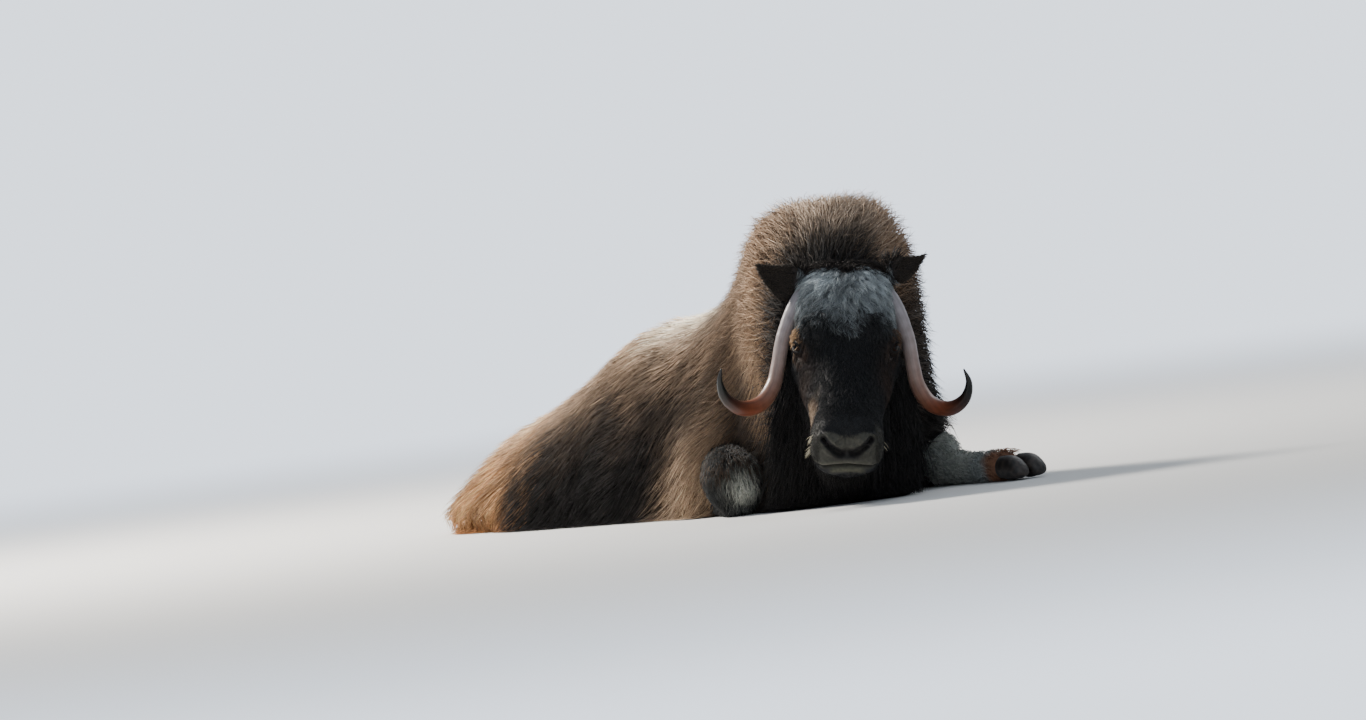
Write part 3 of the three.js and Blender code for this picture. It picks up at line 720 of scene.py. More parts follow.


# Colours of the head, in the frames of the skull and of the level head
# FACE is dark brown-black with a blue cast of painted sky light in shade; FOREHEAD is white hair greyed and
# cooled as painted shade
FACE = srgb(36, 37, 39)
FOREHEAD = srgb(152, 159, 162)
POLL_HAIR = srgb(40, 34, 31)
EYE_GOLD = srgb(186, 152, 116)
CHEEK_BROWN = srgb(72, 55, 46)
TAUPE = srgb(67, 66, 59)
LIP = srgb(82, 81, 69)
BARE = srgb(26, 25, 26)
NOSTRIL_OUTER = np.array([53.0, 154.0])
NOSTRIL_INNER = np.array([13.0, 122.0])
EAR_HAIR = srgb(50, 44, 38)
WHISKER = srgb(196, 188, 166)
LASH = srgb(26, 22, 20)
MOUTH_HEIGHT = -94
BROW_TUFT = np.array([109.0, -184.0, -38.0])
CHEEK_TUFT = np.array([-75.0, -385.0, -68.0])
CHEEK_TUFT_SIZE = np.array([26.0, 46.0, 30.0])


# The head's right half laid over its left half
def folded(skull):
    return columns(np.abs(skull[:, 0]), skull[:, 1], skull[:, 2])


def nostril_distance(level):
    x, z = np.abs(level[:, 0]), level[:, 2]
    way = NOSTRIL_INNER - NOSTRIL_OUTER
    share = ((x - NOSTRIL_OUTER[0]) * way[0] + (z - NOSTRIL_OUTER[1]) * way[1]) / (way @ way)
    share = np.clip(share, 0, 1)
    bend = 5 * np.sin(np.pi * share)
    return np.hypot(x - NOSTRIL_OUTER[0] - way[0] * share, z - NOSTRIL_OUTER[1] - way[1] * share + bend)


def mouth_offset(skull):
    return skull[:, 2] - (MOUTH_HEIGHT - (skull[:, 1] + 500) * math.tan(math.radians(4)))


# The hairless pad of the nose: its upper edge has two lobes
def pad_share(level):
    wide = np.abs(level[:, 0])
    top = 163 + 9 * bell(wide, 40, 20)
    return ramp(level[:, 2], top + 3, top - 3) * ramp(wide, 67, 60) * ramp(-level[:, 1], 262, 280)


# How far out from the middle, down the face and high points are, in the skull's frame
def on_face(points):
    x, y, z = skull_of_world(points).T
    return np.abs(x), -y, z


def eye_distance(skull):
    return np.linalg.norm(folded(skull) - EYE_AT, axis=1)


# How white the forehead is, from 0 to 1
def whiteness(points):
    x, y, high = skull_of_world(points).T
    wave = ripple(points, 46, 9)
    low = 168 + 16 * wave - 14 * bell(np.abs(x), 62, 26) + 14 * bell(x, 0, 30)
    start = -6 + 32 * bell(x, 0, 19) + 4 * wave
    share = ramp(-y, low + 46, low - 52) * ramp(-y, start - 6, start + 6)
    return share * ramp(np.abs(x), 110, 92) * ramp(high, -72, -42)


def head_tint(points, white=None):
    skull, level = skull_of_world(points), level_of_world(points)
    x, place = skull[:, 0], -skull[:, 1]
    wide = np.abs(x)
    wave = ripple(points, 46, 9)
    # Golden hair near the eye is painted sunlight: strong on the sunlit side, where x is below 0, with only
    # a trace on the other
    lit = np.where(x < 0, 0.8, 0.08)
    eye = eye_distance(skull)
    beside_eye = ramp(eye, 44, 34) * ramp(eye, 22, 30) * ramp(place - 214 - 0.5 * wide, -50, -78)
    brow = np.linalg.norm(folded(skull) - BROW_TUFT, axis=1)
    cheek = np.linalg.norm((skull - CHEEK_TUFT) / CHEEK_TUFT_SIZE, axis=1)
    offset = mouth_offset(skull)
    muzzle = ramp(place, 440, 466)
    pad = pad_share(level)
    pad_centre = pad * bell(level[:, 0], 0, 34, 4) * bell(level[:, 2], 121, 13, 4)
    return painted(FACE, [
        (CHEEK_BROWN, 0.5 * bell(wide, 92, 22) * bell(place, 285, 42)),
        (POLL_HAIR, ramp(place + 5 * wave, 2, -22)),
        (POLL_HAIR, ramp(wide, 96, 112) * ramp(place, 130, 90)),
        (FOREHEAD, whiteness(points) if white is None else white),
        (EYE_GOLD, 0.55 * lit * beside_eye),
        (CHEEK_BROWN, np.where(x < 0, 0.65, 0.4) * ramp(eye, 38, 30)),
        (EYE_GOLD, lit * ramp(brow, 24, 10)),
        (BARE, 0.8 * ramp(eye, 26.5, 24)),
        # A paler tuft on the sunlit cheek, partly painted sunlight
        (TAN, 0.52 * ramp(cheek + 0.3 * wave, 1.5, 0.3)),
        (TAUPE, 0.6 * muzzle * ramp(wide, 58, 66) * ramp(wide, 92, 80) * ramp(offset, -2, 6)),
        (TAUPE, 0.78 * pad),
        (BARE, 0.95 * pad_centre),
        (TAUPE * 1.5, 0.85 * muzzle * bell(offset, 7.5, 5.5) * ramp(wide, 84, 60)),
        (FACE, muzzle * ramp(offset, -3, -8)),
        (LIP, 0.9 * muzzle * bell(offset, -10, 6) * ramp(wide, 48, 28)),
        (BARE, muzzle * bell(offset, 0, 2.4)),
        (BARE, ramp(-level[:, 1], 280, 295) * ramp(nostril_distance(level), 11, 7)),
    ])


# Colours of the legs
LEG_PALE = srgb(188, 190, 180)
LEG_GREY = srgb(160, 165, 164)
LEG_RED = srgb(150, 104, 76)
KNEE = np.array([-328.0, -660.0, 74.0])
LEFT_KNEE = np.array([206.0, -735.0, 62.0])


def leg_tint(points):
    x, y = points[:, 0], points[:, 1]
    patch = ripple(points, 60, 13)
    knee = np.linalg.norm((points - KNEE) / np.array([1, 1, 1.15]), axis=1)
    left_knee = np.linalg.norm(points - LEFT_KNEE, axis=1)
    c = painted(LEG_GREY, [
        (DARK, 0.9 * (x < 0) + 0.7 * ramp(y, -600, -500) * (x > 0)),
        (LEG_PALE, ramp(knee + 8 * patch, 88, 26)),
        (LEG_PALE, 0.55 * ramp(left_knee + 10 * patch, 130, 60)),
        (LEG_RED, 0.9 * ramp(y + 8 * patch, -862, -905)),
        (mix(LEG_GREY, LEG_RED, 0.6 * ramp(x + 0.3 * y, 335, 390)), (y > -260) & (x > 200)),
    ])
    return c * (1 + 0.1 * ripple(points, 24, 17))[:, None]


# Strands of hair. Each follows a path and has three sides, widest past its root, and ends in a point
WIDTHS = {3: [0.85, 1.0], 4: [0.7, 1.0, 0.75], 5: [0.6, 1.0, 0.95, 0.6]}
THICKNESS = 0.42
TIP_START = 0.55
PATCH = 0.003
PIECE_LIMIT = 195000
FLOOR_GAP = 1.5
STRANDS = {"mane": 33000, "halo": 3600, "trunk": 41000, "tail": 1700, "legs": 12000, "knee": 1700}
STRANDS |= {"forehead": 9600, "face": 15500, "poll": 4600, "ears": 3800, "beard": 4000, "throat": 5000}
STRANDS |= {"each lid": 900, "brows": 700}
coat_pieces = []


# Hair isn't kept where it would cover a horn, a bared leg or a claw
def guard(limb, first, last, margin):
    centre, _, _, _, size = limb.look(np.linspace(first, last, 36))
    return centre, size.max(1) + margin


BARED = [
    ("forearm_right", 0.94, -16),
    ("cannon_fore_right", 0, 6),
    ("forearm_left", 0.56, 10),
    ("cannon_fore_left", 0, 10),
    ("cannon_hind_left", 0.3, 8),
    ("cannon_hind_right", 0.35, 8),
]
# The pale front of the folded knee stays open to the front, and a gap stays open beside each horn
KNEE_GUARD = (KNEE + np.outer(np.linspace(0, 130, 14), FORWARD), np.full(14, 30.0))
HORN_GUARDS = [guard(horn, 0.17, 1, 9) for horn in HORNS.values()]
HORN_BASES = HORN_GUARDS + [guard(horn, 0.24, 0.5, 15) for horn in HORNS.values()]
for side in (-1, 1):
    gap = np.array([side * 124.0, -70, 0]) + np.outer(np.linspace(430, 300, 12), [0, 0, 1.0])
    HORN_GUARDS.append((world_of_level(gap), np.full(12, 17.0)))
COAT_GUARDS = [guard(LIMBS[name], first, 1, margin) for name, first, margin in BARED]
COAT_GUARDS += [guard(claw, 0, 1, 5) for claw in CLAWS.values()] + [KNEE_GUARD] + HORN_GUARDS


def clear_of(paths, guards):
    kept = np.ones(len(paths), bool)
    for centres, radii in guards:
        low, high = (centres - radii[:, None]).min(0), (centres + radii[:, None]).max(0)
        near = np.flatnonzero(((paths.max(1) > low) & (paths.min(1) < high)).all(1))
        if len(near):
            gap = np.linalg.norm(paths[near][:, 1:, None] - centres, axis=3) - radii
            kept[near[gap.min((1, 2)) < 0]] = False
    return kept


def strand_pieces(name, slot, paths, outward, width, tints, spots, guards=()):
    outward = np.broadcast_to(outward.reshape(len(paths), -1, 3), paths.shape)
    kept = clear_of(paths, guards)
    paths, outward, width, spots = paths[kept], outward[kept], width[kept], spots[kept]
    root, base, tip = (tint[kept] for tint in tints)
    count, rings = paths.shape[:2]
    steps = rings - 1
    along = unit(np.gradient(paths, axis=1))
    across = unit(np.cross(along, outward))
    up = np.cross(across, along)
    points = []
    for k, wide in enumerate(WIDTHS[rings]):
        half = (width * wide / 2)[:, None]
        aside, raised = across[:, k] * half, up[:, k] * half * THICKNESS
        points += [paths[:, k] + aside - raised, paths[:, k] + raised * 2, paths[:, k] - aside - raised]
    verts = np.stack([*points, paths[:, -1]], 1)
    verts[..., 2] = np.maximum(verts[..., 2], FLOOR_GAP)
    per = 3 * steps + 1
    edges = ((0, 1), (1, 2), (2, 0))
    faces = [(k + a, k + 3 + a, k + 3 + b, k + b) for k in range(0, per - 4, 3) for a, b in edges]
    faces += [(per - 4 + a, per - 1, per - 4 + b) for a, b in edges] + [(0, 1, 2)]
    corners, sizes = np.concatenate(faces), np.array([len(face) for face in faces])
    share = np.append(np.repeat(np.arange(steps) / steps, 3), 1)
    side = np.append(np.tile([0, 0.5, 1], steps), 0.5)
    shade = np.clip(share / TIP_START, 0, 1)[:, None]
    end = np.clip((share - TIP_START) / (1 - TIP_START), 0, 1)[:, None]
    colours = root[:, None] * (1 - shade) + base[:, None] * (shade - end) + tip[:, None] * end
    parts = max(1, math.ceil(count * int((sizes - 2).sum()) / PIECE_LIMIT))
    for part, rows in enumerate(np.array_split(np.argsort(spots[:, 0], kind="stable"), parts)):
        low, high = spots[rows].min(0), spots[rows].max(0)
        spot = (spots[rows] - low) / np.maximum(high - low, 1e-9) * 0.98 + 0.01
        uv = spot[:, None] + (columns(share, side)[corners] - 0.5) * PATCH
        strand = np.arange(len(rows))[:, None]
        label = f"{name}_{part + 1}" if parts > 1 else name
        mesh = bpy.data.meshes.new(label)
        mesh.vertices.add(len(rows) * per)
        mesh.vertices.foreach_set("co", (verts[rows] * MM).astype(np.float32).ravel())
        mesh.loops.add(len(rows) * len(corners))
        mesh.loops.foreach_set("vertex_index", (corners + per * strand).astype(np.int32).ravel())
        mesh.polygons.add(len(rows) * len(sizes))
        firsts = np.cumsum(sizes) - sizes + len(corners) * strand
        mesh.polygons.foreach_set("loop_start", firsts.astype(np.int32).ravel())
        mesh.update(calc_edges=True)
        mesh.shade_smooth()
        mesh.uv_layers.new(name="OFBake").data.foreach_set("uv", uv.astype(np.float32).ravel())
        set_tint(mesh, colours[rows].reshape(-1, 3))
        coat_pieces.append((linked(label, mesh), slot))


# Colours of root, middle and tip of each strand, with pale grizzled tips on some
def strand_tints(base, dark=0.4, grizzle=0.25, lighter=1.7, spread=0.22):
    n = len(base)
    base = base * draw(1 - spread, 1 + spread, n)[:, None]
    pale = (rng.random(n) < grizzle)[:, None]
    tip = np.where(pale, base * lighter + 0.015, base * 1.05)
    return np.clip(base * dark, 0.001, 0.9), np.clip(base, 0.002, 0.9), np.clip(tip, 0.002, 0.95)


# A number from 0 to 1 that belongs to a cell of a net
def cell_number(a, b):
    value = np.sin(a * 12.9898 + b * 78.233) * 43758.5453
    return value - np.floor(value)


# Paths over the body from places and turns around the spine
def body_paths(place, around, length, rings, tips, angle, curl, phase):
    steps = rings - 1
    side = np.where(around < 0, -1.0, 1.0)
    start = SKIN_SHARE + 0.04
    made, normals = [], []
    for k in range(rings):
        f = k / steps
        normal = look_up(net_normal, place, around)
        sway = curl * np.sin(phase + 5.2 * f) * f**0.5
        share = start + (tips - start) * f**0.55
        made.append(parted(coat_at(place, around, share) + normal * sway[:, None]))
        normals.append(normal)
        back, down = lie_at(place, np.abs(around))
        turned = angle + 5.4 * curl / np.maximum(length, 1) * np.cos(phase * 1.7 + 4.1 * f)
        move_back = back * np.cos(turned) - down * np.sin(turned)
        move_down = back * np.sin(turned) + down * np.cos(turned)
        place = np.clip(place + move_back * length / steps, 0, SPINE_LENGTH - 3)
        around = around + side * move_down * length / steps / arch_length(place)
        around = np.clip(around, -0.996, 0.996)
    return np.stack(made, 1), unit(np.stack(normals, 1))


# Strands of the body are gathered in locks, which are cells of a net: size and pull of each kind of lock
def body_strands(name, place, around, length, width, rings, tips, swirl, curl, locks, contrast=0.6, **tints):
    n = len(place)
    swept = 0.28 * ripple(coat_at(place, around, 0.0), 230, 51)
    phase = draw(0, TAU, n)
    angle = rng.normal(0, swirl, n) + swept
    paths, outward = body_paths(place, around, length, rings, tips, angle, curl, phase)
    arch = arch_length(place)
    tone = np.ones(n)
    for cell, pull in locks:
        i, j = np.round(place / cell), np.round(around * arch / cell)
        luck, other = cell_number(i, j), cell_number(j + 31, i)
        lock_place = np.clip((i + 0.6 * (luck - 0.5)) * cell, 0, SPINE_LENGTH - 5)
        lock_around = np.clip((j + 0.6 * (other - 0.5)) * cell / arch, -0.99, 0.99)
        turned = (luck - 0.5) * 0.6 + swept
        middle, _ = body_paths(lock_place, lock_around, length, rings, tips, turned, curl * 1.3, other * TAU)
        paths = paths + (middle - paths) * (pull * (np.arange(rings) / (rings - 1)) ** 1.3)[:, None]
        tone *= 1 + contrast * (other - 0.5)
    tint_place = place + rng.normal(0, 14 + 20 * ramp(place, 500, 900), n)
    tint_around = np.clip(around + rng.normal(0, 0.025, n), -1, 1)
    base = coat_tint(tint_place, tint_around, paths[:, 0]) * tone[:, None]
    spots = columns(place / SPINE_LENGTH, (around + 1) / 2)
    strand_pieces(name, "coat", paths, outward, width, strand_tints(base, **tints), spots, COAT_GUARDS)


# Roots spread evenly over a part of the coat
def body_roots(count, low, high):
    place = draw(low, high, count * 3)
    weight = arch_length(place)
    place = place[rng.random(count * 3) < weight / weight.max()][:count]
    return place, draw(-0.985, 0.985, len(place))


MANE_END = 400
# The woolly hair of the mane and hump
place, around = body_roots(STRANDS["mane"], 0, MANE_END)
n = len(place)
top = ramp(np.abs(around), 0.55, 0.3)
left = ramp(around, 0.16, 0.4)
body_strands(
    "coat_mane", place, around,
    length=draw(48, 84, n) + 40 * (1 - top),
    width=draw(1.5, 2.6, n),
    tips=draw(-0.12, 0.34, n) - 0.1 * top * rng.random(n) ** 2 - 0.2 * left * rng.random(n),
    rings=3, swirl=0.42, curl=5.5, locks=[(34, 0.22)], contrast=0.35, grizzle=0.3,
)
# A halo of fine long hairs that stand out from the mane
place, around = body_roots(STRANDS["halo"], 0, MANE_END)
high = np.abs(around) < 0.5
place, around = place[high], around[high]
n = len(place)
body_strands(
    "coat_halo", place, around,
    length=draw(40, 66, n),
    width=draw(1.2, 1.7, n),
    tips=draw(-0.3, -0.06, n),
    rings=4, swirl=0.8, curl=6.0, locks=[], grizzle=0.4,
)
# The sleeker hair of the back, flanks and rump
place, around = body_roots(STRANDS["trunk"], MANE_END - 60, SPINE_LENGTH - 4)
n = len(place)
body_strands(
    "coat_trunk", place, around,
    length=draw(70, 130, n),
    width=draw(1.8, 3.1, n),
    tips=draw(-0.14, 0.34, n) - 0.36 * ramp(place, 1290, 1470) * rng.random(n),
    rings=3, swirl=0.24, curl=3.2, locks=[(70, 0.42), (26, 0.56)], dark=0.3, grizzle=0.36, lighter=2.0,
)

# Skin of the neck and trunk, closed on the floor
BODY_RINGS = 150
BODY_ARCH = 120
SKIN_SHADE = 0.45
place, around = body_net(BODY_RINGS, BODY_ARCH)
body_points = parted(coat_at(place, around, SKIN_SHARE))
body_tint = coat_tint(place, around, body_points) * SKIN_SHADE
body_points[:, 2] = np.maximum(body_points[:, 2], 1)
rings = body_points.reshape(BODY_RINGS, BODY_ARCH, 3)
verts, faces = loft(rings, *[(ring[0] + ring[-1]) / 2 for ring in (rings[0], rings[-1])])
skin = mesh_object("skin", verts, faces, np.vstack([[DARK_HAIR_IN_SHADE], body_tint, body_tint[-1:]]))

# Skin of the head: one surface, then lips, mouth line and nostrils are pressed into it
parts = [skull_loft(grow=-3)]
for side in (-1, 1):
    parts.append(ball_mesh((side * 85, -202, -40), (31, 42, 29), rotation("Z", side * 14)))
    parts.append(ball_mesh((side * 66, -190, -6), (34, 42, 17), rotation("Y", side * 22)))
    parts.append(ball_mesh((side * 38, -486, -30), (30, 30, 15), rotation("Y", side * 24)))
parts = [(level_of_skull(v), f) for v, f in parts] + [ear_mesh(side) for side in (-1, 1)]
skin_head = fused("skin_head", [(world_of_level(v), f) for v, f in parts], voxel=2.3, smoothing=8)

points, normals = mesh_points(skin_head.data), mesh_normals(skin_head.data)
skull, level = skull_of_world(points), level_of_world(points)
offset = mouth_offset(skull)
wide = np.abs(skull[:, 0])
lips = (5 * bell(offset, 11, 8.5) + 4.5 * bell(offset, -12, 10)) * (0.35 + 0.65 * ramp(wide, 78, 48))
groove = 8 * bell(offset, 0, 2.8) * ramp(wide, 72, 46)
chin_dip = 4 * bell(offset, -36, 10)
muzzle = ramp(-skull[:, 1], 418, 452)
slit = nostril_distance(level)
wide = np.abs(level[:, 0])
rim = 4 * bell(slit, 13, 5) * ramp(wide, 6, 20)
dimple = 5 * bell(wide, 0, 7) * ramp(level[:, 2], 108, 122) * pad_share(level)
front = ramp(-level[:, 1], 285, 305)
points = points + normals * (muzzle * (lips - groove - chin_dip) + front * (rim - dimple))[:, None]
hole = 20 * front * bell(slit, 0, 5.2 + 4.4 * ramp(wide, 46, 16))
points += hole[:, None] * (head_turn @ np.array([0.0, 1.0, 0.12]))
# Sockets: the skin in front of each eyeball is pressed back behind its surface
SOCKET_RADIUS = 16.5
SOCKET_REACH = 60
placed = skull_of_world(points)
for eye in EYES.values():
    away = placed - eye.centre
    reach = np.linalg.norm(away, axis=1)
    angle = np.degrees(np.arccos(np.clip(away @ eye.look / reach, -1, 1)))
    share = ramp(angle, 74, 50) * (reach < SOCKET_REACH)
    target = np.minimum(reach, reach + (SOCKET_RADIUS - reach) * share)
    placed = eye.centre + away * (target / reach)[:, None]
move_points(skin_head.data, world_of_skull(placed))
set_tint(skin_head.data, head_tint(points) * np.where(pad_share(level) > 0.5, 1.0, 0.75)[:, None])
lids = [mesh_object("lids", *lid_mesh(eye)) for eye in EYES.values()]

# Skin of the legs and tail
LEG_GROWTH = {"forearm_left": 1, "cannon_fore_left": 5}
legs = [limb.mesh(LEG_GROWTH.get(name, -4)) for name, limb in LIMBS.items()]
skin_legs = fused("skin_legs", legs + [TAIL.mesh(-8)], voxel=4.5, smoothing=6)
points = mesh_points(skin_legs.data)
points[:, 2] = np.maximum(points[:, 2], 1)
move_points(skin_legs.data, points)
set_tint(skin_legs.data, mix(leg_tint(points), GOLD * 0.7, ramp(points[:, 1], 640, 660)) * 0.8)

# Tail: long hair over the short tail
TAIL_END = 838
n = STRANDS["tail"]
shares, turns = draw(0, 1, n), draw(0, TAU, n)
root = TAIL.surface(shares, turns, -9)
centre, along, _, _, _ = TAIL.look(shares)
outward = unit(root - centre)
long = draw(34, 60, n)[:, None]
steps = [root]
for k, lift in ((1, 3.2), (2, 1.0), (3, -1.0)):
    way = unit(along + np.array([0, 0.1, -0.5]) * (k / 3) ** 1.5 + jitter(n, 0.12))
    steps.append(steps[-1] + way * long / 3 + outward * lift)
paths = np.stack(steps, 1)
paths[..., 1] = np.minimum(paths[..., 1], TAIL_END)
colours = strand_tints(np.tile(mix(TAN, GOLD, 0.6) * 0.85, (n, 1)))
spots = columns(shares, turns / TAU)
strand_pieces("coat_tail", "coat", paths, outward, draw(2.4, 3.6, n), colours, spots)


# Roots on a mesh, spread by area and a weight at each face's centre
def scatter(mesh, count, weight):
    mesh.calc_loop_triangles()
    corners = np.zeros(len(mesh.loop_triangles) * 3, np.int32)
    mesh.loop_triangles.foreach_get("vertices", corners)
    corners = corners.reshape(-1, 3)
    spots = mesh_points(mesh)
    directions = mesh_normals(mesh)
    a, b, c = (spots[corners[:, i]] for i in range(3))
    area = np.linalg.norm(np.cross(b - a, c - a), axis=1)
    share = area * np.maximum(weight((a + b + c) / 3), 0)
    picked = rng.choice(len(share), count, p=share / share.sum())
    u, v = rng.random(count), rng.random(count)
    fold = u + v > 1
    u, v = np.where(fold, 1 - u, u)[:, None], np.where(fold, 1 - v, v)[:, None]
    weights = [1 - u - v, u, v]
    root = sum(spots[corners[picked, i]] * weights[i] for i in range(3))
    normal = sum(directions[corners[picked, i]] * weights[i] for i in range(3))
    return root, unit(normal)


# Paths of short hair that rises from its root and settles again
def short_paths(root, out, way, long, sunk, lift, settled):
    middle = root + way * long * 0.5 + out * lift
    return np.stack([root - out * sunk, middle, root + way * long + out * settled], 1)


# Short hair of the legs lies down along them, longest on the folded knee
def leg_weight(points):
    x, y, z = points.T
    fore = ramp(y, -400, -440) * (1 + 0.8 * (x < 0))
    return np.maximum(fore, 0.45 * (x > 200) * (y > -260)) * (y < 600) * (z > 2)


root, normal = scatter(skin_legs.data, STRANDS["legs"], leg_weight)
n = len(root)
bones = np.vstack([limb.centre for limb in LIMBS.values()])
alongs = np.vstack([limb.along for limb in LIMBS.values()])
nearest = np.argmin((bones**2).sum(1)[None] - 2 * root @ bones.T, axis=1)
bent = (root[:, 0] < 0)[:, None]
way = alongs[nearest] * np.where(bent, 0.4, 1.0) + np.array([0, 0, -1.0]) * np.where(bent, 0.9, 0.3)
way = laid(way + jitter(n, 0.22), normal)
fringe = ramp(root[:, 1], -895, -925)[:, None]
long = draw(14, 24, n)[:, None] * (np.where(bent, 1.9, 1.0) + fringe)
lift = draw(3, 8, n)[:, None] * (np.where(bent, 2.1, 1.0) + 0.6 * fringe)
paths = short_paths(root, normal, way, long, 2, lift, lift * 0.7)
strand_pieces(
    "coat_legs", "leg_hair", paths, normal, draw(1.4, 2.3, n),
    strand_tints(leg_tint(root), dark=0.6, grizzle=0.12, lighter=1.3, spread=0.16),
    columns((root[:, 1] + 1040) / 1300, (root[:, 0] + 0.5 * root[:, 2] + 400) / 900),
    [guard(claw, 0.1, 1, 1) for claw in CLAWS.values()],
)


# Coat hair that hangs over the top and outside of the folded knee
def knee_weight(points):
    x, y, z = points.T
    away = np.linalg.norm(points - KNEE, axis=1)
    upper = np.maximum(ramp(z, 96, 116) * ramp(y, -625, -600), ramp(-x, 356, 376))
    return (x < 0) * (y > -680) * (y < -440) * ramp(away, 62, 88) * upper


root, normal = scatter(skin_legs.data, STRANDS["knee"], knee_weight)
n = len(root)
long, lift = draw(26, 50, n), draw(8, 22, n)
way = laid(np.array([-0.2, -0.5, -0.55]) + jitter(n, 0.22), normal)
steps = [root - normal * 2]
for f in (1 / 3, 2 / 3, 1):
    spot = root + way * (long * f)[:, None] + normal * (lift * math.sin(2.4 * f))[:, None]
    spot[:, 2] = np.maximum(spot[:, 2] - 0.5 * long * f * f, 3)
    steps.append(spot)
tone = ramp(-root[:, 0] + 20 * ripple(root, 50, 43), 330, 372)
base = mix(mix(DARK, BROWN, 0.2), MANE, 0.5 * tone * rng.random(n))
strand_pieces(
    "coat_knee", "coat", np.stack(steps, 1), normal, draw(1.6, 2.6, n),
    strand_tints(base, dark=0.5, grizzle=0.3, lighter=1.8),
    columns(-root[:, 1] / 700, root[:, 2] / 200),
)


# Paths over the head: the way is in the skull's frame and laid on the skin, with lift, waves and fall
def head_paths(root, normal, way, length, rings, lift, curl, phase, fall):
    flow = laid(way @ skull_turn.T @ head_turn.T, normal)
    aside = np.cross(normal, flow)
    made = [root - normal * 2]
    for k in range(1, rings):
        f = k / (rings - 1)
        sway = curl * np.sin(phase + 6.0 * f) * f**0.6
        bounce = 0.6 * curl * np.cos(phase * 1.3 + 5.0 * f) * f**0.6
        spot = root + flow * (length * f * (1 - 0.25 * fall * f))[:, None] + aside * sway[:, None]
        spot = spot + normal * (lift * math.sin(math.pi * min(f * 0.62 + 0.06, 0.62)) + bounce)[:, None]
        spot[:, 2] -= fall * length * f**1.6
        made.append(spot)
    return np.stack(made, 1)


def head_spots(root):
    skull = skull_of_world(root)
    return columns((-skull[:, 1] + 60) / 600, np.arctan2(skull[:, 0], skull[:, 2] + 100) / TAU + 0.5)


def head_strands(name, root, normal, way, length, width, lift, rings, curl, fall=0.0, base=None, **tints):
    paths = head_paths(root, normal, way, length, rings, lift, curl, draw(0, TAU, len(root)), fall)
    colours = strand_tints(head_tint(root) if base is None else base, **tints)
    strand_pieces(name, "face_hair", paths, normal, width, colours, head_spots(root), HORN_BASES)


def on_ear(points):
    level = level_of_world(points)
    return (np.abs(level[:, 0]) > 113) & (level[:, 2] > 455) | (np.abs(level[:, 0]) > 150)


# The wavy hair of the forehead parts in the middle and flows down and outwards, in locks
def forehead_weight(points):
    wide, _, high = on_face(points)
    free = ~on_ear(points) * (eye_distance(skull_of_world(points)) > 40)
    edge = ramp(wide, 110, 98) * ramp(high, -76, -56)
    return ramp(whiteness(points), 0.0, 0.12) * edge * free


def forehead_way(root):
    outside = np.clip(skull_of_world(root)[:, 0] / 60, -1.3, 1.3)
    return columns(0.42 * outside + 0.4 * ripple(root, 60, 21), -1, -0.2) + jitter(len(root), 0.16)


LOCKS = 420
FOREHEAD_RINGS = 5
guide_root, guide_normal = scatter(skin_head.data, LOCKS, forehead_weight)
guide_phase = draw(0, TAU, LOCKS)
guide_way = forehead_way(guide_root)
guide_tone = draw(0.55, 1.25, LOCKS)
root, normal = scatter(skin_head.data, STRANDS["forehead"], forehead_weight)
n = len(root)
skull, white = skull_of_world(root), whiteness(root)
lock = np.argmin(np.linalg.norm(root[:, None] - guide_root[None], axis=2), axis=1)
phase = guide_phase[lock]
length = draw(26, 46, n) * (0.55 + 0.45 * ramp(white, 0.1, 0.6))
lift = draw(4, 11, n) * (0.45 + 0.55 * ramp(-skull[:, 1], 0, 40)) * (0.4 + 0.6 * ramp(white, 0, 0.5))
way = forehead_way(root)
own = head_paths(root, normal, way, length, FOREHEAD_RINGS, lift, 3.4, phase + rng.normal(0, 0.35, n), 0.0)
guides = guide_root[lock], guide_normal[lock], guide_way[lock]
middle = head_paths(*guides, length, FOREHEAD_RINGS, lift + 1, 4.2, phase, 0.0)
pull = 0.6 * np.linspace(0, 1, FOREHEAD_RINGS) ** 1.1
white = np.where(rng.random(n) < white, 0.35 + 0.65 * white, 0.25 * white)
# Painted highlights on the upper lobes of the forehead, either side of the parting
painted_highlight = bell(np.abs(skull[:, 0]), 46, 26) * bell(skull[:, 1], -44, 44)
base = head_tint(root, white) * (guide_tone[lock] * (0.82 + 0.95 * painted_highlight))[:, None]
colours = strand_tints(base, dark=0.16, grizzle=0.3, lighter=1.5, spread=0.2)
paths = own + (middle - own) * pull[:, None]
strand_pieces(
    "coat_forehead", "face_hair", paths, normal, draw(1.0, 1.7, n), colours, head_spots(root), HORN_BASES
)


# Short hair of the face lies down towards the nose, longer on the cheeks
def face_weight(points):
    skull, level = skull_of_world(points), level_of_world(points)
    place, wide = -skull[:, 1], np.abs(skull[:, 0])
    bare = np.maximum(pad_share(level), ramp(-level[:, 1], 285, 300) * ramp(nostril_distance(level), 14, 9))
    offset = mouth_offset(skull)
    upper = ramp(offset, 24, 18) * ramp(wide, 74, 58) * (offset > 0)
    lower = ramp(-offset, 17, 12) * ramp(wide, 50, 38) * (offset <= 0)
    lips = ramp(place, 430, 455) * np.maximum(upper, lower)
    free = np.clip(1 - bare - lips, 0, 1) * ramp(eye_distance(skull), 22.5, 24.5) * ~on_ear(points)
    dense = 1 + 0.9 * ramp(place, 380, 450)
    return dense * ramp(place, 60, 120) * ramp(whiteness(points), 0.5, 0.15) * free


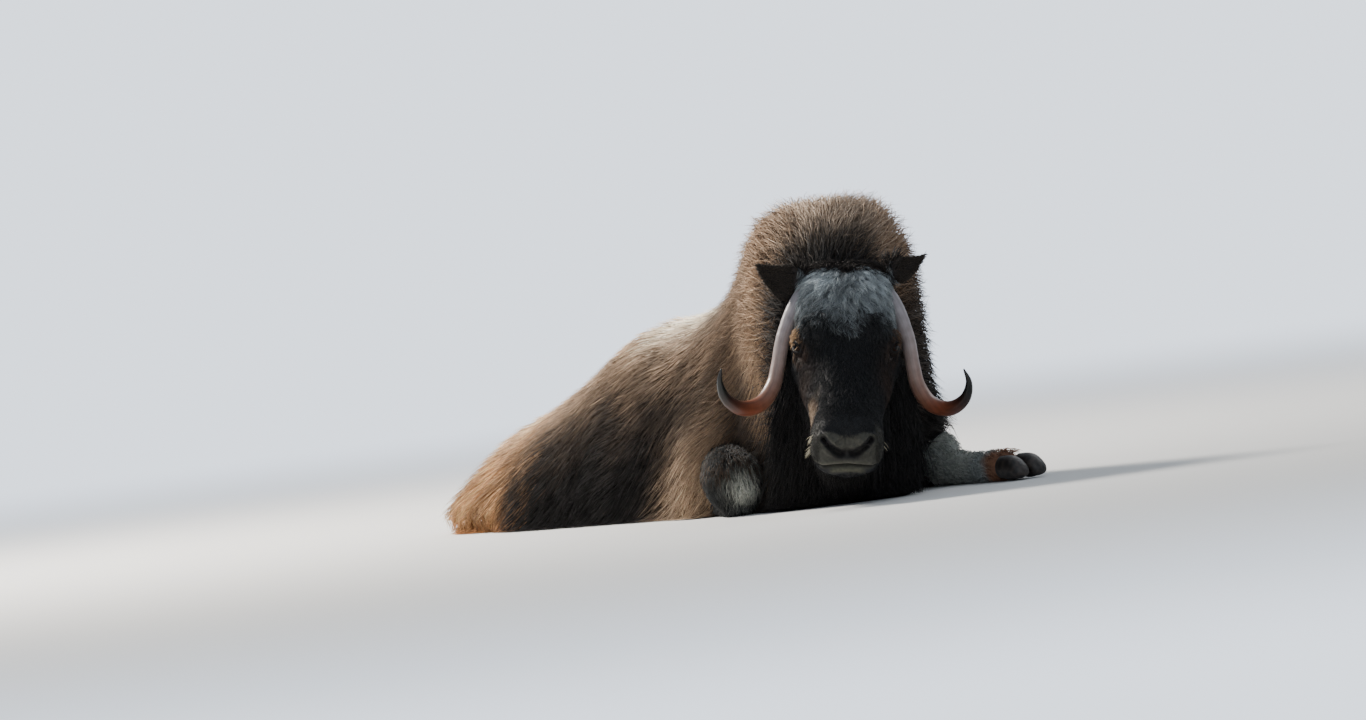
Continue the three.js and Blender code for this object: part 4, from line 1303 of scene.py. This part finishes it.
root, normal = scatter(skin_head.data, STRANDS["face"], face_weight)
wide, place, high = on_face(root)
n = len(root)
way = columns(0.35 * skull_of_world(root)[:, 0] / 90, -1, -0.35 * ramp(wide, 50, 100)) + jitter(n, 0.14)
muzzle = ramp(place, 390, 460)
cheek = ramp(high, -50, -120) * (1 - muzzle)
head_strands(
    "coat_face", root, normal, way,
    length=(draw(17, 29, n) + 22 * cheek) * (1 - 0.66 * muzzle),
    width=draw(1.3, 2.0, n) * (1 - 0.35 * muzzle),
    lift=(draw(2.5, 6, n) + 5 * cheek) * (1 - 0.6 * muzzle),
    rings=3, curl=1.5, dark=0.6, grizzle=0.14, lighter=1.5,
)


# Poll and the sides of the head behind the horns
def poll_weight(points):
    wide, place, high = on_face(points)
    behind = ramp(wide, 92, 104) * ramp(high, -40, -66) * ramp(place, 165, 130)
    return np.maximum(ramp(place, 24, -2), behind) * ~on_ear(points)


root, normal = scatter(skin_head.data, STRANDS["poll"], poll_weight)
wide, place, _ = on_face(root)
n = len(root)
way = columns(0.6 * np.sign(skull_of_world(root)[:, 0]), 0.3, 0.7 - 1.4 * ramp(place, 20, 60))
crest = ramp(wide, 34, 16) * ramp(place, -20, 6)
way = mix(way, np.array([0, -1.0, 0.2]), crest) + jitter(n, 0.3)
head_strands(
    "coat_poll", root, normal, way,
    length=draw(26, 46, n), width=draw(1.5, 2.4, n), lift=draw(6, 16, n),
    rings=3, curl=4.0, base=np.tile(POLL_HAIR * 0.8, (n, 1)),
)

# Ears
root, normal = scatter(skin_head.data, STRANDS["ears"], on_ear)
n = len(root)
way = columns(np.sign(level_of_world(root)[:, 0]), 0, 0.3) @ skull_turn + jitter(n, 0.25)
head_strands(
    "coat_ears", root, normal, way,
    length=draw(8, 13, n), width=draw(1.1, 1.7, n), lift=draw(0.8, 2.2, n),
    rings=3, curl=0.5, base=np.tile(EAR_HAIR, (n, 1)), grizzle=0.15,
)


# Beard and the hair under the jaw, which hangs to the floor; its dark colour is partly painted shade under
# the head
def beard_weight(points):
    _, place, high = on_face(points)
    return ramp(high, -104, -130) * ramp(place, 40, 120) * ramp(place, 500, 470) * ~on_ear(points)


root, normal = scatter(skin_head.data, STRANDS["beard"], beard_weight)
skull = skull_of_world(root)
n = len(root)
way = columns(0.25 * np.sign(skull[:, 0]), -0.4, -1) + jitter(n, 0.3)
drop = np.clip(root[:, 2] - 6, 12, 200) * draw(0.45, 1.0, n) * (1 - 0.66 * ramp(-skull[:, 1], 415, 475))
head_strands(
    "coat_beard", root, normal, way,
    length=drop * 0.64, width=draw(1.8, 2.8, n), lift=draw(6, 22, n),
    rings=4, curl=5.0, fall=0.85, base=np.tile(DARK_HAIR_IN_SHADE, (n, 1)), dark=0.6, grizzle=0.12,
)

# Throat hair hangs in tiers in front of the neck, down to the floor. Its dark colour is partly painted shade
# under the head
THROAT_HALF = 156
n = STRANDS["throat"]
aside = draw(-THROAT_HALF, THROAT_HALF, n)
ground = aside * math.tan(math.radians(HEAD_LEAN))
start = ground + draw(24, 410, n)
deep = 8 + 34 * np.sqrt(np.clip(1 - (aside / 170) ** 2, 0, 1)) * draw(0.4, 1.3, n)
hang = np.minimum(start - ground - 3, draw(80, 180, n))
swing = rng.normal(0, 0.12, n)
steps = []
for f in (0, 1 / 3, 2 / 3, 1):
    x = aside * (1 + 0.1 * f) + hang * swing * f + 8 * np.sin(aside * 3.1 + 4 * f)
    y = -20 - deep - 18 * math.sin(math.pi * f * 0.75) + 14 * np.abs(aside / THROAT_HALF) ** 3 * f
    steps.append(columns(x, y, start - hang * f))
paths = world_of_level(np.stack(steps, 1))
# Painted shade on the throat hair, deepest where aside is negative and eased where it is positive
base = DARK_HAIR_IN_SHADE * (1 + 0.2 * ripple(paths[:, 0], 80, 31) + 0.6 * ramp(aside, 20, 110))[:, None]
strand_pieces(
    "coat_throat", "coat", paths, unit(columns(aside / 200, -1, 0) @ head_turn.T), draw(2.2, 3.4, n),
    strand_tints(base, dark=0.6, grizzle=0.06, spread=0.15),
    columns((aside + 160) / 320, start / 420), COAT_GUARDS,
)

# Short hair on the lids, turned away from the opening
grown = []
n = STRANDS["each lid"]
for eye in EYES.values():
    turn = draw(0, TAU, n)
    start = lid_edge(turn) + 0.1
    angle = start + (math.radians(104) - start) * rng.random(n) ** 1.4
    root = eye.at(angle, turn, 23.2 + 1.3 * np.clip(np.sin(turn), 0, 1))
    way = unit(eye.at(angle + 0.5, turn + 0.3 * rng.normal(size=n), 22.4) - root)
    # Golden lid hair is painted sunlight, strong on the sunlit eye and faint on the other
    sunlit_gold = (0.7 if eye.side < 0 else 0.06) * ramp(np.sin(turn) - np.cos(turn), 0.2, 1.0)
    base = mix(mix(BARE, CHEEK_BROWN, 0.5 * rng.random(n)), EYE_GOLD, sunlit_gold * rng.random(n))
    grown.append((root, unit(root - eye.centre), way, draw(4, 8, (n, 1)), base))
root, out, way, long, base = (np.concatenate(values) for values in zip(*grown))
strand_pieces(
    "coat_lids", "face_hair", world_of_skull(short_paths(root, out, way, long, 1, 1.5, 0.9)),
    out @ skull_turn.T @ head_turn.T, draw(0.8, 1.2, len(root)),
    strand_tints(base, dark=0.7, grizzle=0.1, lighter=1.3),
    head_spots(world_of_skull(root)), HORN_GUARDS,
)


# A tuft above the outer corner of each eye, golden on the sunlit side as painted sunlight and brown on the
# other
def brow_weight(points):
    away = np.linalg.norm(folded(skull_of_world(points)) - BROW_TUFT, axis=1)
    return bell(away, 0, 17) * (away < 40)


root, normal = scatter(skin_head.data, STRANDS["brows"], brow_weight)
n = len(root)
side = np.sign(skull_of_world(root)[:, 0])
way = columns(side, -0.6, -0.3) + jitter(n, 0.3)
head_strands(
    "coat_brows", root, normal, way,
    length=draw(12, 22, n), width=draw(0.8, 1.3, n), lift=draw(5, 11, n),
    rings=4, curl=1.6, base=mix(EYE_GOLD, mix(CHEEK_BROWN, EYE_GOLD, 0.08), side > 0),
    dark=0.5, grizzle=0.2, lighter=1.5,
)

# Pale whiskers in two tufts on the right of the muzzle, a few on the left, and lashes on the upper lids
WHISKERS = [(-76, -474, -52, 34), (-80, -462, -112, 34), (78, -468, -84, 6)]
LASHES = 70
grown = []
for x, y, z, count in WHISKERS:
    root = np.array([x, y, z]) + rng.normal(0, 3, (count, 3))
    way = np.array([0.8 * np.sign(x), -0.3, -0.6]) + jitter(count, 0.22)
    grown.append((root, unit(way), draw(9, 20, (count, 1))))
whiskers = sum(count for _, _, _, count in WHISKERS)
for eye in EYES.values():
    turn = draw(0.5, 2.7, LASHES)
    root = eye.at(lid_edge(turn) + 0.08, turn, 22.2)
    way = unit(root - eye.centre) + 0.5 * eye.long - 0.3 * eye.above + jitter(LASHES, 0.15)
    grown.append((root, unit(way), draw(5, 8, (LASHES, 1))))
root, way, long = (np.concatenate(values) for values in zip(*grown))
droop = np.array([0, -0.25, -0.3])
paths = np.stack([root + way * (long * f) + droop * (long * f * f) for f in (0, 0.33, 0.67, 1)], 1)
pale = np.arange(len(root)) < whiskers
strand_pieces(
    "coat_whiskers", "face_hair", world_of_skull(paths),
    np.tile(head_turn @ np.array([0, -1.0, 0.2]), (len(root), 1)), np.where(pale, 0.9, 0.7),
    strand_tints(mix(LASH, WHISKER, pale), dark=0.8, grizzle=0),
    head_spots(world_of_skull(root)),
)

# Horns
HORN_COLOURS = smooth_table(
    [
        [0, *srgb(124, 120, 124)],
        [0.2, *srgb(140, 134, 137)],
        [0.42, *srgb(140, 122, 116)],
        [0.58, *srgb(128, 94, 80)],
        [0.7, *srgb(118, 66, 46)],
        [0.8, *srgb(66, 36, 27)],
        [0.88, *srgb(22, 18, 17)],
        [1, *srgb(12, 12, 13)],
    ]
)


def horn_mesh(horn):
    sides = 36
    turns = TAU * np.arange(sides) / sides
    rings, tints = [], []
    for share in np.linspace(0, 1, 170):
        fade = 1 - ramp(share, 0.2, 0.62)
        growth = 0.16 * math.sin(share * 210 + 1.5 * math.sin(share * 37)) * fade
        flakes = 0.22 * np.sin(turns * 9 + 6 * math.sin(share * 9)) * fade
        rings.append(horn.surface(np.full(sides, share), turns, (growth + flakes - 0.3)[:, None]))
        streak = 1 + 0.1 * np.sin(turns * 7 + 5 * share) + 0.06 * np.sin(turns * 17 + 2)
        ringed = 1 + 0.07 * math.sin(share * 105 + math.sin(share * 23)) * fade
        tints.append(HORN_COLOURS([share])[0] * (streak * ringed)[:, None])
    first = horn.centre[0] - horn.along[0] * 13
    last = horn.centre[-1] + horn.along[-1] * 1.5
    verts, faces = loft(rings, first, last)
    return verts, faces, np.vstack([tints[0][:1], *tints, tints[-1][:1]])


# Eye: a ball with a raised cornea, dark iris and a level pupil
def eye_mesh(eye):
    verts, faces = ball_mesh((0, 0, 0), (1, 1, 1), around=56, down=44)
    angle = np.degrees(np.arccos(np.clip(verts[:, 2], -1, 1)))
    local = verts * (EYE_RADIUS - 0.7 + 1.5 * ramp(angle, 40, 24))[:, None]
    pupil = np.hypot(verts[:, 0] / 0.4, verts[:, 1] / 0.2)
    tint = painted(srgb(26, 20, 18), [
        (srgb(38, 23, 15), ramp(angle, 47, 41)),
        (srgb(11, 8, 8), ramp(angle, 33, 40) * ramp(angle, 50, 43)),
        (srgb(27, 16, 11), ramp(angle, 30, 12)),
        (srgb(4, 4, 6), ramp(pupil, 1.1, 0.9) * (verts[:, 2] > 0)),
    ])
    placed = local[:, :1] * eye.long + local[:, 1:2] * eye.above + local[:, 2:] * eye.look
    return world_of_skull(placed + eye.centre), faces, tint


horns, eyes, hooves = [], [], []
for side, name in ((-1, "right"), (1, "left")):
    horns.append((mesh_object(f"horn_{name}_fine", *horn_mesh(HORNS[side])), f"horn_{name}"))
    eyes.append((mesh_object(f"eye_{name}_fine", *eye_mesh(EYES[side])), f"eye_{name}"))
for name, claw in CLAWS.items():
    verts, faces = claw.mesh(-0.4, sides=32, steps=36)
    verts[:, 2] = np.maximum(verts[:, 2], 0.5)
    tint = mix(srgb(56, 49, 45), srgb(28, 25, 24), ramp(ripple(verts, 16, 41), -0.6, 0.8))
    hooves.append((mesh_object(f"claw_{name}", verts, faces, tint), f"hoof_{name}"))


# Materials
def new_material(name):
    made = bpy.data.materials.new(name)
    made.use_nodes = True
    return made, made.node_tree.nodes, made.node_tree.links


def link(links, source, output, target, entry):
    links.new(source.outputs[output], target.inputs[entry])


def new_node(nodes, kind, values=()):
    made = nodes.new("ShaderNode" + kind)
    set_values(made, values)
    return made


def set_values(node, values):
    for name, value in dict(values).items():
        node.inputs[name].default_value = value


# The tint of the mesh with a fine random mottle, and fine bumps where bump is given
def tinted(name, roughness, mottle_scale, mottle, specular, bump_scale=0, bump=0, sheen=0, coat=0):
    made, nodes, links = new_material(name)
    shader = nodes["Principled BSDF"]
    set_values(shader, {"Roughness": roughness, "Specular IOR Level": specular})
    set_values(shader, {"Sheen Weight": sheen, "Sheen Roughness": 0.5})
    set_values(shader, {"Coat Weight": coat, "Coat Roughness": 0.05})
    tint = new_node(nodes, "Attribute")
    tint.attribute_name = "tint"
    where = new_node(nodes, "TexCoord")
    noise = new_node(nodes, "TexNoise", {"Scale": mottle_scale, "Detail": 3})
    link(links, where, "Object", noise, "Vector")
    level = new_node(nodes, "MapRange", {"From Min": 0.25, "From Max": 0.75})
    set_values(level, {"To Min": 1 - mottle, "To Max": 1 + mottle})
    link(links, noise, "Fac", level, "Value")
    scaled = new_node(nodes, "VectorMath")
    scaled.operation = "SCALE"
    link(links, tint, "Color", scaled, 0)
    link(links, level, "Result", scaled, "Scale")
    link(links, scaled, "Vector", shader, "Base Color")
    if bump:
        grain = new_node(nodes, "TexNoise", {"Scale": bump_scale, "Detail": 4})
        link(links, where, "Object", grain, "Vector")
        raised = new_node(nodes, "Bump", {"Strength": bump, "Distance": 0.002})
        link(links, grain, "Fac", raised, "Height")
        link(links, raised, "Normal", shader, "Normal")
    return made


hair = tinted("hair", 0.66, 420, 0.22, specular=0.16, sheen=0.02)
hide = tinted("hide", 0.62, 160, 0.22, specular=0.2, sheen=0.02, bump_scale=520, bump=0.3)
horn_stuff = tinted("horn_keratin", 0.38, 60, 0.14, specular=0.42, coat=0.06, bump_scale=240, bump=0.12)
claw_stuff = tinted("claw_keratin", 0.5, 90, 0.25, specular=0.5, bump_scale=200, bump=0.4)
wet = tinted("eye_wet", 0.1, 200, 0.15, specular=0.09)


def dress(piece, stuff, slot, *nodes):
    piece.data.materials.clear()
    piece.data.materials.append(stuff)
    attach(piece, "root")
    if nodes:
        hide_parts(*nodes)


# One skin of the body, head, lids and legs
for other in bpy.context.scene.objects:
    other.select_set(other in (skin, skin_head, skin_legs, *lids))
bpy.context.view_layer.objects.active = skin
bpy.ops.object.join()
skin.data.shade_smooth()
flesh = ["neck", "chest", "barrel", "hindquarters", "tail", "head", "ear_left", "ear_right", *LIMBS]
dress(skin, hide, "coat", *flesh)
for piece, slot in coat_pieces:
    dress(piece, hair, slot)
for pieces, stuff, slot in ((horns, horn_stuff, "horn"), (eyes, wet, "eye"), (hooves, claw_stuff, "hoof")):
    for piece, node in pieces:
        dress(piece, stuff, slot, node)

# Camera at the photograph's angle, with its roll. SCALE is in pixels per millimetre, and the floor under the
# head, HEAD_AT, is seen at FOOT_PIXEL
AZIMUTH = -34
ELEVATION = 1.5
ROLL = 7.5
LENS = 300
SENSOR = 36
IMAGE = (1366, 720)
SCALE = 0.44
FOOT_PIXEL = (845, 503)
axes = rotation("Z", AZIMUTH) @ rotation("X", 90 - ELEVATION) @ rotation("Z", -ROLL)
offset = np.array([IMAGE[0] / 2 - FOOT_PIXEL[0], FOOT_PIXEL[1] - IMAGE[1] / 2, LENS / SENSOR * IMAGE[0]])
eye_point = (HEAD_AT + axes @ offset / SCALE) * MM
camera_data = bpy.data.cameras.new("camera")
camera_data.lens = LENS
camera_data.sensor_width = SENSOR
camera_data.clip_start = 1
camera_data.clip_end = 400
camera = linked("camera", camera_data)
camera.matrix_world = Matrix([*np.column_stack([axes, eye_point]).tolist(), (0, 0, 0, 1)])
bpy.context.scene.camera = camera

# A pale floor that melts into a pale backdrop far away, which lights nothing
SKY = (0.85, 0.93, 1.05, 1)
SKY_STRENGTH = 1.95
STAGE_RADIUS = 62000
FLOOR_SIDES = 96
turns = TAU * np.arange(FLOOR_SIDES) / FLOOR_SIDES
floor_rim = columns(np.cos(turns), np.sin(turns), 0) * STAGE_RADIUS
floor = mesh_object("floor", floor_rim, [tuple(range(FLOOR_SIDES))])
backdrop = mesh_object("backdrop", *ball_mesh((0, 0, 0), (STAGE_RADIUS,) * 3, around=48, down=32))
for rays in ("diffuse", "glossy", "shadow", "transmission"):
    setattr(backdrop, "visible_" + rays, False)

pale, nodes, links = new_material("floor_pale")
shader = nodes["Principled BSDF"]
set_values(shader, {"Roughness": 0.9, "Specular IOR Level": 0.1, "Base Color": (0.7, 0.7, 0.69, 1)})
where = new_node(nodes, "TexCoord")
distance = new_node(nodes, "VectorMath")
distance.operation = "LENGTH"
link(links, where, "Object", distance, 0)
fade = new_node(nodes, "MapRange", {"From Min": 1.8, "From Max": 9})
fade.interpolation_type = "SMOOTHSTEP"
link(links, distance, "Value", fade, "Value")
glow = new_node(nodes, "Emission", {"Color": SKY, "Strength": SKY_STRENGTH})
blend = new_node(nodes, "MixShader")
link(links, fade, "Result", blend, "Fac")
link(links, shader, "BSDF", blend, 1)
link(links, glow, "Emission", blend, 2)
links.new(blend.outputs["Shader"], nodes["Material Output"].inputs["Surface"])
floor.data.materials.append(pale)
far, nodes, links = new_material("backdrop_pale")
nodes.clear()
glow = new_node(nodes, "Emission", {"Color": SKY, "Strength": SKY_STRENGTH})
surface = new_node(nodes, "OutputMaterial")
link(links, glow, "Emission", surface, "Surface")
backdrop.data.materials.append(far)

world = bpy.data.worlds.new("studio")
bpy.context.scene.world = world
world.use_nodes = True
set_values(world.node_tree.nodes["Background"], {"Color": (0.62, 0.70, 0.80, 1), "Strength": 0.5})


def lamp(name, place, power, size, colour):
    data = bpy.data.lights.new(name, "AREA")
    data.energy = power
    data.size = size
    data.color = colour
    made = linked(name, data)
    made.location = place
    made.rotation_mode = "QUATERNION"
    made.rotation_quaternion = (Vector((0, -0.1, 0.25)) - Vector(place)).to_track_quat("-Z", "Y")


lamp("key", (-1.5, 3.4, 3.8), 760, 1.3, (1.0, 0.94, 0.86))
lamp("fill", (-2.6, -4.0, 3.0), 40, 3.5, (0.92, 0.96, 1.0))
lamp("side", (3.0, 0.5, 3.2), 60, 3.0, (0.96, 0.98, 1.0))
